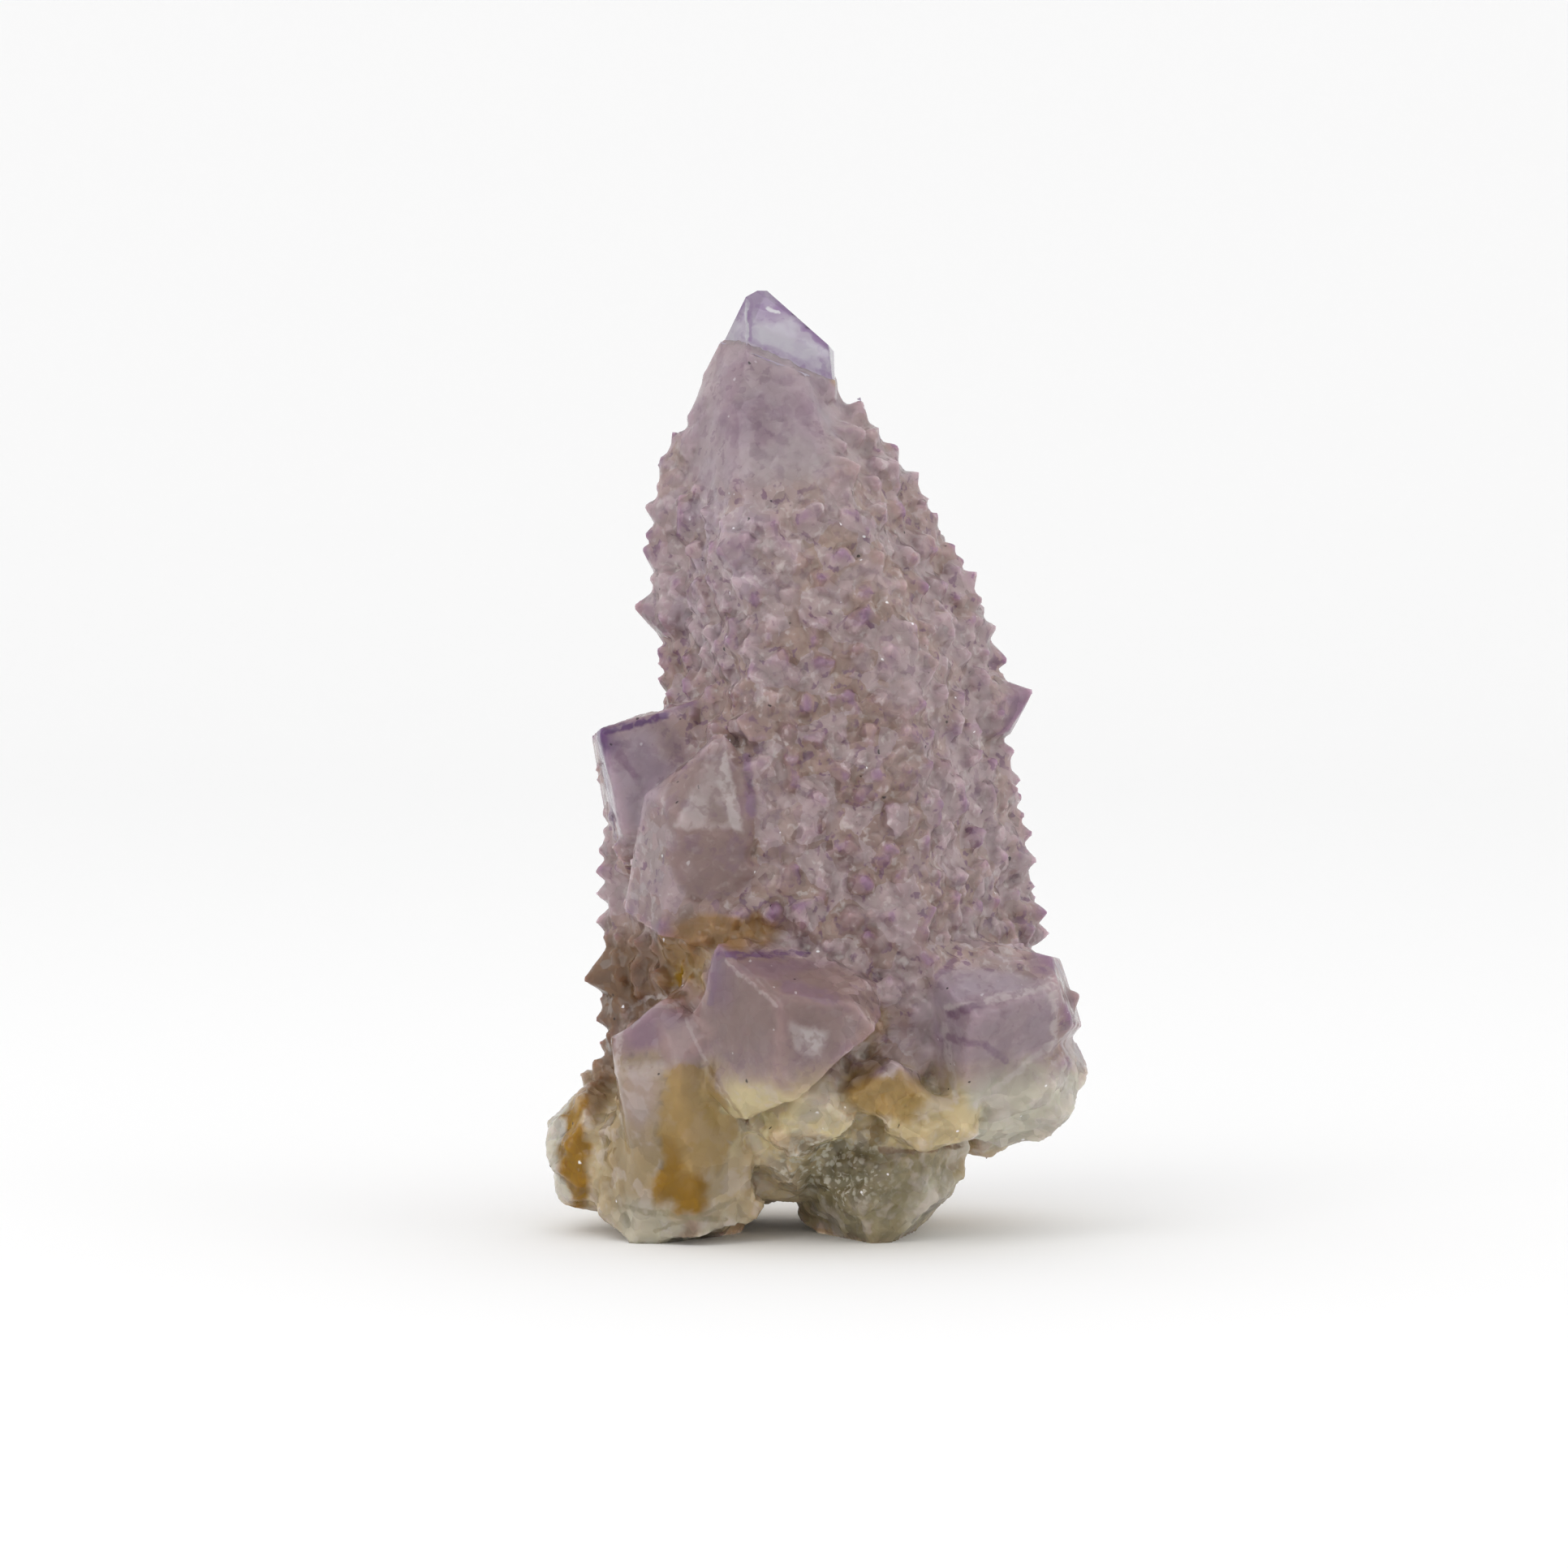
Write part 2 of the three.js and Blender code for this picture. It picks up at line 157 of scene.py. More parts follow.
def with_modifier(mesh, kind, **settings):
    """The mesh as one modifier makes it, as a new mesh."""
    carrier = object_from(mesh, "carrier")
    step = carrier.modifiers.new("step", kind)
    for name, value in settings.items():
        setattr(step, name, value)
    graph = bpy.context.evaluated_depsgraph_get()
    result = bpy.data.meshes.new_from_object(carrier.evaluated_get(graph))
    bpy.data.objects.remove(carrier)
    return result


def combine(mesh, other, operation):
    """The mesh cut by or kept inside another, as a new mesh."""
    tool = object_from(other, "tool")
    result = with_modifier(mesh, "BOOLEAN", operation=operation, solver="MANIFOLD", object=tool)
    bpy.data.objects.remove(tool)
    return result


HALF_SPACE_SIZE = 300
WELD = 0.002


def half_space(point, normal):
    """A large block that fills one side of a plane."""
    sheet = bmesh.new()
    bmesh.ops.create_cube(sheet, size=HALF_SPACE_SIZE)
    turn = normal.to_track_quat("Z", "Y").to_matrix().to_4x4()
    lift = Matrix.Translation((0, 0, HALF_SPACE_SIZE / 2))
    place = Matrix.Translation(point) @ turn @ lift
    bmesh.ops.transform(sheet, matrix=Matrix.Scale(MM, 4) @ place, verts=sheet.verts)
    return mesh_from(sheet, "half_space")


def welded_copy(node):
    sheet = bmesh.new()
    sheet.from_mesh(node.data)
    bmesh.ops.remove_doubles(sheet, verts=sheet.verts, dist=WELD * MM)
    return mesh_from(sheet, "welded")


def grown_together(meshes, grain):
    """One even skin, of faces as large as the grain, round meshes that overlap."""
    sheet = bmesh.new()
    for mesh in meshes:
        sheet.from_mesh(mesh)
    bmesh.ops.scale(sheet, vec=(1 / MM, 1 / MM, 1 / MM), verts=sheet.verts)
    skin = with_modifier(mesh_from(sheet, "overlapping"), "REMESH", mode="VOXEL",
                         voxel_size=grain, adaptivity=0.0)
    skin.transform(Matrix.Scale(MM, 4))
    return skin


# Template crystals and chips, each about as large as 1, built once and stamped many times

PYRAMID_NORMAL = math.radians(51.8)
PRISM_RADIUS = 1.15
PRISM_LENGTH = 2.4
SHARPEST = 0.12
CHIP_BALL = 1.35
CHIP_CUTS = 9
CHIP_CUT_DEPTHS = (0.55, 0.95)


def cut_off(sheet, point, normal):
    """Cuts off what lies outside a plane, and closes the cut."""
    everything = sheet.verts[:] + sheet.edges[:] + sheet.faces[:]
    cut = bmesh.ops.bisect_plane(sheet, geom=everything, dist=1e-6, plane_co=point,
                                 plane_no=normal, clear_outer=True)
    rim = [part for part in cut["geom_cut"] if isinstance(part, bmesh.types.BMEdge)]
    if rim:
        bmesh.ops.contextual_create(sheet, geom=rim)


def crystal_template(blunt, seed):
    """A six-sided crystal along Z, with its tip at the origin."""
    own = random.Random(seed)
    sheet = bmesh.new()
    down = Matrix.Translation((0, 0, -PRISM_LENGTH / 2))
    bmesh.ops.create_cone(sheet, cap_ends=True, segments=6, radius1=PRISM_RADIUS,
                          radius2=PRISM_RADIUS, depth=PRISM_LENGTH, matrix=down)
    for side in range(6):
        angle = math.radians(60 * side + 30)
        normal = Vector((math.cos(angle), math.sin(angle), 0)) * math.sin(PYRAMID_NORMAL)
        normal.z = math.cos(PYRAMID_NORMAL)
        reach = blunt * own.uniform(0.6, 1.3) if side % 2 else SHARPEST * own.random()
        cut_off(sheet, normal * reach, normal)
    return mesh_from(sheet, "crystal_template")


def chip_template(seed):
    """An angular chip of broken quartz: a ball cut flat all round."""
    own = random.Random(seed)
    sheet = bmesh.new()
    bmesh.ops.create_icosphere(sheet, subdivisions=1, radius=CHIP_BALL)
    for _ in range(CHIP_CUTS):
        normal = Vector((own.gauss(0, 1), own.gauss(0, 1), own.gauss(0, 1))).normalized()
        cut_off(sheet, normal * own.uniform(*CHIP_CUT_DEPTHS), normal)
    return mesh_from(sheet, "chip_template")


class Stamps:
    """Copies of templates, placed one by one and made into one mesh."""

    def __init__(self, templates):
        self.templates = [(corners_of(shape), [list(face.vertices) for face in shape.polygons])
                          for shape in templates]
        self.corners = []
        self.faces = []
        self.count = 0
        self.start = 0

    def add(self, place, turn, size):
        local, faces = self.templates[self.count % len(self.templates)]
        self.corners.append(local * size @ np.array(turn).T + np.array(place))
        self.faces += [[self.start + i for i in face] for face in faces]
        self.start += len(local)
        self.count += 1

    def mesh(self):
        mesh = bpy.data.meshes.new("stamps")
        mesh.from_pydata(np.concatenate(self.corners).tolist(), [], self.faces)
        return mesh


# Where the surface stands out, and where small things may grow on it

def axis_at(height):
    """The middle of the specimen at a height: it leans to the left towards its tip."""
    share = np.clip((height / MM - LEAN_FROM) / (TOP - LEAN_FROM), 0, 1)
    return np.stack([(AXIS_FOOT - LEAN * share) * MM, np.zeros_like(share)], axis=1)


def smoothed(grid):
    padded = np.pad(grid, ((1, 1), (0, 0)), mode="edge")
    along = padded[:-2] + 2 * padded[1:-1] + padded[2:]
    return along + 0.5 * (np.roll(along, 1, axis=1) + np.roll(along, -1, axis=1))


def relief_of(places):
    """How far each place stands off the mean surface round the upright axis."""
    angle_bins, height_bins = 40, 44
    away = places[:, :2] - axis_at(places[:, 2])
    reach = np.linalg.norm(away, axis=1)
    turn = (np.arctan2(away[:, 1], away[:, 0]) / (2 * math.pi) * angle_bins) % angle_bins
    level = np.clip(places[:, 2] / (TOP * MM) * height_bins, 0, height_bins - 1)
    cell = (level.astype(int), turn.astype(int) % angle_bins)
    total = np.zeros((height_bins, angle_bins))
    count = np.zeros((height_bins, angle_bins))
    np.add.at(total, cell, reach)
    np.add.at(count, cell, 1)
    for _ in range(2):
        total = smoothed(total)
        count = smoothed(count)
    mean = total / np.maximum(count, 1e-9)
    return reach - mean[cell]


SAMPLES_PER_SPACING = 6


def sampled(mesh, spacing):
    """Points spread evenly over a mesh, many for each spacing, and their normals."""
    mesh.calc_loop_triangles()
    places = corners_of(mesh)
    triangles = np.array([t.vertices[:] for t in mesh.loop_triangles])
    a, b, c = (places[triangles[:, i]] for i in range(3))
    cross = np.cross(b - a, c - a)
    area = np.linalg.norm(cross, axis=1) / 2
    normals = cross / np.maximum(2 * area, 1e-18)[:, None]
    tries = int(SAMPLES_PER_SPACING * area.sum() / (spacing * MM) ** 2)
    chosen = rng.choice(len(area), size=tries, p=area / area.sum())
    u, v = rng.random(tries), rng.random(tries)
    fold = u + v > 1
    u[fold], v[fold] = 1 - u[fold], 1 - v[fold]
    points = a[chosen] + u[:, None] * (b - a)[chosen] + v[:, None] * (c - a)[chosen]
    return points, normals[chosen]


def thinned(points, spacing):
    """The first points that keep a spacing between them, as a list of indices."""
    gap = spacing * MM
    cells = {}
    kept = []
    for i, point in enumerate(points):
        home = tuple((point // gap).astype(int))
        near = [cells.get((home[0] + x, home[1] + y, home[2] + z), [])
                for x in (-1, 0, 1) for y in (-1, 0, 1) for z in (-1, 0, 1)]
        if any(math.dist(point, points[j]) < gap for cell in near for j in cell):
            continue
        cells.setdefault(home, []).append(i)
        kept.append(i)
    return kept


def turned_to(axis):
    spin = Matrix.Rotation(random.uniform(0, 2 * math.pi), 3, "Z")
    return Vector(axis).to_track_quat("Z", "Y").to_matrix() @ spin


def on_clean_crystal(place):
    return any(math.dist(place, centre) < radius for centre, radius in CLEAN_SPHERES)


def on_bare_face(place):
    x, y, z = place
    edge = BARE_EDGE_X + (BARE_EDGE_Z - z) * BARE_EDGE_SLOPE
    return z > DRUSE_HIGH or (z > BARE_LOW and y < BARE_BACK and x < edge)


# The druse between and on the coarse crystals of the solid, in two rounds: each is
# (spacing, smallest, largest, highest relief on which a crystal still grows)
FINE_DRUSE = [
    (2.3, 0.8, 1.35, 0.5),
    (1.3, 0.5, 0.85, 0.8),
]
BLUNTNESS = [0.05, 0.5, 0.2, 0.7, 0.1, 0.35, 0.15]
LEFT_OUT = 0.1


def fine_druse(mesh):
    """Small crystals that point outwards and a little up, more of them in the gaps."""
    stamps = Stamps([crystal_template(blunt, seed) for seed, blunt in enumerate(BLUNTNESS)])
    for spacing, low, high, highest in FINE_DRUSE:
        points, normals = sampled(mesh, spacing)
        relief = relief_of(points) / MM
        for i in thinned(points, spacing):
            place = points[i] / MM
            if place[2] < DRUSE_LOW or on_clean_crystal(place) or on_bare_face(place):
                continue
            if relief[i] > highest or random.random() < LEFT_OUT:
                continue
            away = points[i, :2] - axis_at(points[i:i + 1, 2])[0]
            outward = Vector((away[0], away[1], 0)).normalized()
            axis = outward + 1.2 * Vector(normals[i]) + UP * random.uniform(0.0, 0.6)
            axis += 0.3 * Vector(rng.normal(size=3))
            size = random.uniform(low, high) * MM
            tip = Vector(points[i]) + axis.normalized() * size * random.uniform(0.35, 0.9)
            stamps.add(tip, turned_to(axis), size)
    return stamps.mesh()


# Chips on the broken base, in two rounds: each is (spacing, smallest, largest, share of the
# places that get one)
CHIPS = [
    (7.5, 1.8, 3.0, 0.4),
    (3.4, 0.6, 1.3, 0.2),
]
CHIPS_LOW = 1.5


def base_chips(mesh):
    """Angular chips, most of each one sunk into the broken surface."""
    stamps = Stamps([chip_template(seed) for seed in range(8)])
    for spacing, low, high, share in CHIPS:
        points, normals = sampled(mesh, spacing)
        for i in thinned(points, spacing):
            place = points[i] / MM
            if not CHIPS_LOW < place[2] < BASE_TOP or on_clean_crystal(place):
                continue
            if random.random() > share:
                continue
            size = random.uniform(low, high) * MM
            middle = Vector(points[i]) - Vector(normals[i]) * size * random.uniform(0.55, 0.85)
            turn = turned_to(Vector(rng.normal(size=3)).normalized())
            stamps.add(middle, turn, size)
    return stamps.mesh()


# Patches of small grains at the front of the base: (middle, spread, count, sizes)
GRAIN_SAMPLING = 0.9
GRAIN_SPACING = 0.8
GRAINS = [
    (Vector((3.2, -13.0, 7.2)), Vector((2.8, 3.0, 2.6)), 60, (0.3, 0.6)),
    (Vector((-2.5, -17.5, 10.5)), Vector((3.0, 2.0, 1.8)), 30, (0.3, 0.55)),
]


def grains(mesh):
    """Small grains that stand on the broken surface near each place."""
    stamps = Stamps([chip_template(seed) for seed in range(20, 26)])
    points, normals = sampled(mesh, GRAIN_SAMPLING)
    kept = thinned(points, GRAIN_SPACING)
    for middle, spread, count, (low, high) in GRAINS:
        near = [i for i in kept if all(abs(points[i][k] / MM - middle[k]) < spread[k]
                                       for k in range(3))]
        for i in random.sample(near, min(count, len(near))):
            size = random.uniform(low, high) * MM
            turn = turned_to(Vector(rng.normal(size=3)).normalized())
            stamps.add(Vector(points[i]), turn, size)
    return stamps.mesh()


# The skin of the body, once all of it has grown together

def ramp(values, low, high):
    """0 below low, 1 above high, and eased between them."""
    share = np.clip((values - low) / (high - low), 0, 1)
    return share * share * (3 - 2 * share)


class Skin:
    """The body's corners as an array of millimetres, and which corners are neighbours."""

    def __init__(self, mesh):
        self.mesh = mesh
        self.places = corners_of(mesh) / MM
        ends = np.empty(len(mesh.edges) * 2, dtype=np.int32)
        mesh.edges.foreach_get("vertices", ends)
        ends = ends.reshape(-1, 2)
        self.here = np.concatenate([ends[:, 0], ends[:, 1]])
        self.there = np.concatenate([ends[:, 1], ends[:, 0]])
        self.count = np.bincount(self.here, minlength=len(self.places))[:, None]

    def eased(self, values, share, rounds):
        """Each value moved towards the mean of its neighbours, some rounds over."""
        for _ in range(rounds):
            sums = [np.bincount(self.here, weights=values[self.there, k], minlength=len(values))
                    for k in range(values.shape[1])]
            values = values + share * (np.stack(sums, axis=1) / self.count - values)
        return values

    def normals(self):
        self.mesh.vertices.foreach_set("co", (self.places * MM).ravel())
        self.mesh.update()
        found = np.empty(len(self.places) * 3)
        self.mesh.vertex_normals.foreach_get("vector", found)
        return found.reshape(-1, 3)

    def relief(self):
        """How far each corner stands out of the surface round it."""
        mean = self.eased(self.places, 0.7, 30)
        return ((self.places - mean) * self.normals()).sum(axis=1)

    def nearness(self, centre, radius):
        """1 inside a ball, falling to 0 over the outer fifth of its radius."""
        reach = np.linalg.norm(self.places - np.array(centre), axis=1) / radius
        return 1 - ramp(reach, 0.8, 1.0)


def below_step(places):
    """How far each place lies below the planes of the step."""
    depths = [(np.array(point) - places) @ np.array(up) for point, up in STEP_PLANES]
    return np.min(depths, axis=0)


def wear(skin):
    """Rounds the edges of the larger crystals, and leaves the creases between them."""
    held = ramp(below_step(skin.places), 0.5, 2.5) * ramp(skin.relief(), -0.12, 0.05)
    for centre, radius, rounds in WORN_SPHERES:
        share = 0.6 * skin.nearness(centre, radius) * held
        skin.places = skin.eased(skin.places, share[:, None], rounds)


LEDGES = 5


def fracture_depth(place):
    """How far the fracture surface stands out or in at a place, with ledges on it."""
    ledges = noise.noise(Vector((place.x, place.y, place.z * 1.8)) * 0.3)
    ledges = round(ledges * LEDGES) / LEDGES * 0.6 + ledges * 0.4
    return 0.7 * ledges + 0.12 * noise.fractal(place * 0.9, 0.8, 2.0, 3)


def growth_depth(place):
    """The low hillocks and pits on the faces of the larger crystals."""
    return 0.16 * noise.noise(place * 0.45) + 0.07 * noise.noise(place * 1.3)


def clean_share(skin):
    """1 on the clean crystals and the bare face, and 0 in the druse and on the base."""
    clean = np.max([skin.nearness(*sphere) for sphere in CLEAN_SPHERES], axis=0)
    bare = np.array([on_bare_face(place) for place in skin.places]).astype(float)
    return np.maximum(clean, skin.eased(bare[:, None], 0.7, 6)[:, 0])


def roughen(skin):
    """Moves the base to a fracture surface, and the clean faces to uneven ones."""
    clean = clean_share(skin)
    normals = skin.normals()
    height = skin.places[:, 2]
    off_cut = ramp(height, *CUT_EDGE)
    broken = off_cut * (1 - ramp(height, BASE_TOP - 1, BASE_TOP + 1)) * (1 - clean)
    grown = clean * off_cut
    depth = np.zeros(len(skin.places))
    for i in np.nonzero(broken + grown > 0.01)[0]:
        place = Vector(skin.places[i])
        depth[i] = broken[i] * fracture_depth(place) + grown[i] * growth_depth(place)
    skin.places = skin.places + normals * depth[:, None]


def stand_flat(skin):
    """Makes the cut feet flat again."""
    height = skin.places[:, 2]
    height[height < CUT_HEIGHT] = 0


def thinned_out(skin):
    """The skin's mesh with fewer triangles where it is flat."""
    skin.normals()
    share = min(1, MOST_TRIANGLES / (2 * len(skin.mesh.polygons)))
    return with_modifier(skin.mesh, "DECIMATE", ratio=share)


# Colours of the crystal, in linear light
MAUVE = (0.310, 0.220, 0.216)
PALE_MAUVE = (0.375, 0.292, 0.300)
LILAC = (0.360, 0.290, 0.345)
FROSTED = (0.380, 0.300, 0.338)
WARM = (0.330, 0.235, 0.195)
ROSE = (0.350, 0.238, 0.232)
DUSK = (0.240, 0.160, 0.148)
VIOLET = (0.215, 0.130, 0.190)
PLUM = (0.256, 0.172, 0.158)
DARK_VIOLET = (0.165, 0.085, 0.145)
DEEP_VIOLET = (0.105, 0.045, 0.135)
CREAM = (0.460, 0.372, 0.205)
PALE_CREAM = (0.510, 0.435, 0.255)
TAN = (0.300, 0.222, 0.118)
GREENISH = (0.450, 0.425, 0.350)
SMOKY = (0.235, 0.200, 0.115)
OCHRE = (0.315, 0.200, 0.055)
RUSSET = (0.255, 0.140, 0.045)
ORANGE = (0.250, 0.128, 0.0)
PEACH = (0.420, 0.300, 0.190)
BROWN = (0.160, 0.086, 0.042)
WHITISH = (0.520, 0.460, 0.450)
# Painted glints: white specks and short lines that stand in for highlights
GLINT_WHITE = (0.850, 0.840, 0.860)
BLACK = (0.012, 0.010, 0.012)
SOOT = (0.150, 0.125, 0.070)

# Broad zones of the ground colour: (colour, strength, edge, centre, radii)
GROUNDS = [
    (PALE_MAUVE, 0.9, 0.5, (-4.0, -6.0, 79.0), (16.0, 20.0, 15.0)),
    (LILAC, 0.7, 0.5, (-11.0, -8.0, 67.0), (7.0, 14.0, 10.0)),
    (PALE_MAUVE, 0.9, 0.5, (17.0, -6.0, 44.0), (9.0, 18.0, 24.0)),
    (WARM, 0.7, 0.5, (3.5, -12.0, 62.0), (7.0, 12.0, 15.0)),
    (DUSK, 0.9, 0.6, (0.0, -14.0, 38.0), (13.0, 12.0, 14.0)),
    (DUSK, 0.6, 0.6, (2.0, -14.0, 52.0), (11.0, 10.0, 12.0)),
    (DUSK, 0.7, 0.7, (-9.5, -17.0, 37.0), (6.0, 8.0, 5.5)),
    (LILAC, 0.8, 0.4, (-18.5, -9.0, 46.0), (4.0, 8.0, 6.0)),
]

# Frosted faces below the cap and on the right foot crystal
FROSTING = [
    (FROSTED, 0.85, 0.3, (-6.0, -7.0, 83.5), (9.0, 12.0, 8.5)),
    (WHITISH, 0.35, 0.5, (-3.0, -9.0, 77.5), (4.5, 8.0, 2.4)),
    (WHITISH, 0.30, 0.5, (-11.0, -5.0, 86.5), (1.6, 6.0, 2.6)),
    (VIOLET, 0.40, 0.6, (-7.5, -8.0, 82.0), (3.0, 8.0, 2.6)),
    (VIOLET, 0.40, 0.6, (-1.4, -8.0, 83.2), (1.8, 8.0, 1.3)),
    (LILAC, 0.85, 0.3, (16.8, -19.0, 21.6), (8.0, 9.0, 7.4)),
]

# Zones of the broken base
ZONES = [
    (PALE_CREAM, 0.9, 0.2, (-2.5, -18.0, 12.5), (8.5, 8.0, 5.8)),
    (TAN, 0.95, 0.2, (-17.5, -14.0, 9.5), (6.0, 9.0, 10.5)),
    (GREENISH, 0.95, 0.2, (21.0, -9.0, 12.5), (8.5, 16.0, 6.2)),
    (SMOKY, 0.9, 0.25, (7.5, -10.0, 4.0), (8.5, 12.0, 6.0)),
    (GREENISH, 0.6, 0.4, (12.5, -10.0, 3.0), (3.0, 12.0, 3.5)),
    (GREENISH, 0.9, 0.3, (-26.4, -4.0, 8.5), (1.9, 9.0, 7.0)),
    (CREAM, 0.9, 0.2, (11.0, -15.0, 12.3), (5.2, 6.0, 3.2)),
    (PALE_MAUVE, 0.55, 0.5, (-17.6, -17.0, 14.5), (2.4, 6.0, 4.0)),
    (GREENISH, 0.7, 0.4, (-15.0, -14.0, 2.0), (7.0, 9.0, 3.0)),
    (WHITISH, 0.4, 0.5, (1.5, -16.0, 15.0), (3.0, 6.0, 2.2)),
]

# Iron stains, and soot among the grains
STAINS = [
    (BROWN, 0.85, 0.4, (-17.0, -4.0, 26.0), (8.0, 8.5, 5.5)),
    (OCHRE, 0.7, 0.5, (-12.5, -11.0, 26.5), (3.5, 4.0, 4.0)),
    (RUSSET, 0.9, 0.3, (-9.0, -15.0, 31.4), (5.2, 7.0, 1.9)),
    (RUSSET, 0.8, 0.4, (-14.0, -12.0, 29.2), (2.6, 7.0, 1.8)),
    (ORANGE, 0.9, 0.4, (-13.4, -12.0, 26.2), (0.8, 8.0, 1.7)),
    (ORANGE, 1.0, 0.4, (-12.6, -14.0, 4.8), (2.6, 9.0, 1.9)),
    (ORANGE, 1.0, 0.5, (-14.2, -15.0, 7.6), (1.5, 9.0, 3.0)),
    (BROWN, 0.7, 0.4, (-12.5, -11.0, 1.8), (1.2, 6.0, 1.3)),
    (ORANGE, 1.0, 0.3, (-24.2, -5.0, 8.0), (1.3, 8.0, 6.5)),
    (BROWN, 0.85, 0.4, (-21.8, -4.0, 19.0), (2.6, 9.0, 6.5)),
    (BROWN, 0.9, 0.4, (-21.2, -1.0, 25.5), (3.4, 9.0, 3.8)),
    (SOOT, 0.85, 0.5, (2.6, -13.0, 6.8), (4.4, 6.0, 2.8)),
    (OCHRE, 0.9, 0.3, (6.6, -15.5, 15.2), (4.4, 6.0, 2.6)),
    (OCHRE, 0.5, 0.5, (5.0, -16.0, 21.0), (1.6, 6.0, 3.0)),
    (PEACH, 0.7, 0.4, (-2.3, -17.0, 10.3), (3.2, 6.0, 1.7)),
    (OCHRE, 0.6, 0.5, (1.8, -3.0, 86.0), (0.6, 4.0, 0.8)),
    (OCHRE, 0.6, 0.5, (10.0, 12.0, 12.0), (5.0, 8.0, 5.0)),
    (OCHRE, 0.7, 0.5, (-12.0, 14.0, 13.0), (5.0, 8.0, 4.0)),
    (BROWN, 0.5, 0.5, (0.0, 16.0, 24.0), (7.0, 8.0, 6.0)),
]

# Violet and plum that gather at the tips and edges of the larger crystals
GLOWS = [
    (DEEP_VIOLET, 0.9, 0.5, (-21.5, -7.8, 49.9), (1.5, 4.0, 2.2)),
    (ROSE, 0.9, 0.25, (-14.8, -15.0, 22.6), (5.6, 8.0, 3.6)),
    (VIOLET, 0.7, 0.6, (-17.4, -15.0, 21.4), (1.6, 6.0, 1.6)),
    (VIOLET, 0.6, 0.6, (-14.6, -15.0, 23.0), (1.8, 6.0, 1.0)),
    (PLUM, 0.85, 0.35, (-3.5, -19.0, 24.5), (9.0, 7.0, 5.6)),
    (VIOLET, 0.7, 0.6, (-9.6, -17.5, 26.4), (1.4, 5.0, 2.2)),
    (VIOLET, 0.5, 0.6, (-4.0, -17.5, 28.2), (5.0, 5.0, 0.9)),
    (MAUVE, 0.35, 0.4, (18.4, -19.0, 20.6), (5.0, 8.0, 5.2)),
    (DEEP_VIOLET, 0.8, 0.6, (13.4, -12.0, 50.2), (0.9, 4.0, 1.1)),
    (VIOLET, 0.7, 0.6, (21.0, -1.0, 53.6), (1.4, 4.0, 3.0)),
    (VIOLET, 0.6, 0.6, (-13.3, -2.0, 82.5), (1.6, 4.0, 2.0)),
    (VIOLET, 0.4, 0.4, (-9.0, 19.0, 29.0), (7.0, 7.0, 5.0)),
    (VIOLET, 0.4, 0.4, (14.0, 18.0, 24.0), (7.0, 7.0, 5.0)),
    (VIOLET, 0.4, 0.4, (6.5, 17.5, 47.0), (5.0, 7.0, 4.0)),
]

# Broad faces on the front: (colour, strength, edge, corners clockwise). The ochre face is a
# stain, and the pale face is painted light on the shaded left face of the right foot crystal
BROAD_PANELS = [
    (OCHRE, 0.7, 0.25, [(-15.0, 18.2), (-11.3, 18.4), (-8.0, 12.0), (-10.5, 6.5), (-15.6, 4.5)]),
    # Painted light: lifts the shaded left face of the right foot crystal
    (PALE_MAUVE, 0.6, 0.5, [(9.4, 25.2), (12.6, 24.2), (12.4, 21.5), (14.0, 14.6), (10.4, 17.4)]),
]


class Coats:
    """Soft coats of colour at the skin's corners, and how far they cover what is below."""

    def __init__(self, places, colour=(0, 0, 0), cover=0.0):
        self.stirred = np.array([self.stir(Vector(place)) for place in places])
        self.front = ramp(-places[:, 1], 1.0, 4.0)
        self.colour = np.ones((len(places), 1)) * np.array(colour)
        self.cover = np.full(len(places), cover)

    def stir(self, place):
        """A place, moved a little way by a noise."""
        broad = 1.2 * noise.noise_vector(place * 0.4)
        return place + broad + 0.6 * noise.noise_vector(place * 0.8)

    def lay(self, colour, mask):
        """One more coat, as thick at each corner as the mask says."""
        self.colour += mask[:, None] * (np.array(colour) - self.colour)
        self.cover += mask * (1 - self.cover)

    def patches(self, rows):
        """Blobs with soft edges: each row is (colour, strength, edge, centre, radii)."""
        for colour, strength, edge, centre, radii in rows:
            reach = np.linalg.norm((self.stirred - np.array(centre)) / np.array(radii), axis=1)
            self.lay(colour, strength * (1 - ramp(reach, 1 - edge, 1 + edge)))

    def panels(self, rows):
        """Faces on the front: each row is (colour, strength, edge, corners clockwise)."""
        for colour, strength, edge, corners in rows:
            mask = strength * self.front
            for (x0, z0), (x1, z1) in zip(corners, corners[1:] + corners[:1]):
                inward = np.array((z1 - z0, 0, x0 - x1)) / math.dist((x0, z0), (x1, z1))
                reach = (self.stirred - np.array((x0, 0, z0))) @ inward
                mask = mask * ramp(reach, -edge, edge)
            self.lay(colour, mask)

    def write(self, mesh, name):
        """The coats' own colour, without what shows through them."""
        colour = self.colour / np.maximum(self.cover, 1e-6)[:, None]
        mesh.attributes.new(name, "FLOAT_VECTOR", "POINT")
        mesh.attributes[name].data.foreach_set("vector", colour.astype(np.float32).ravel())


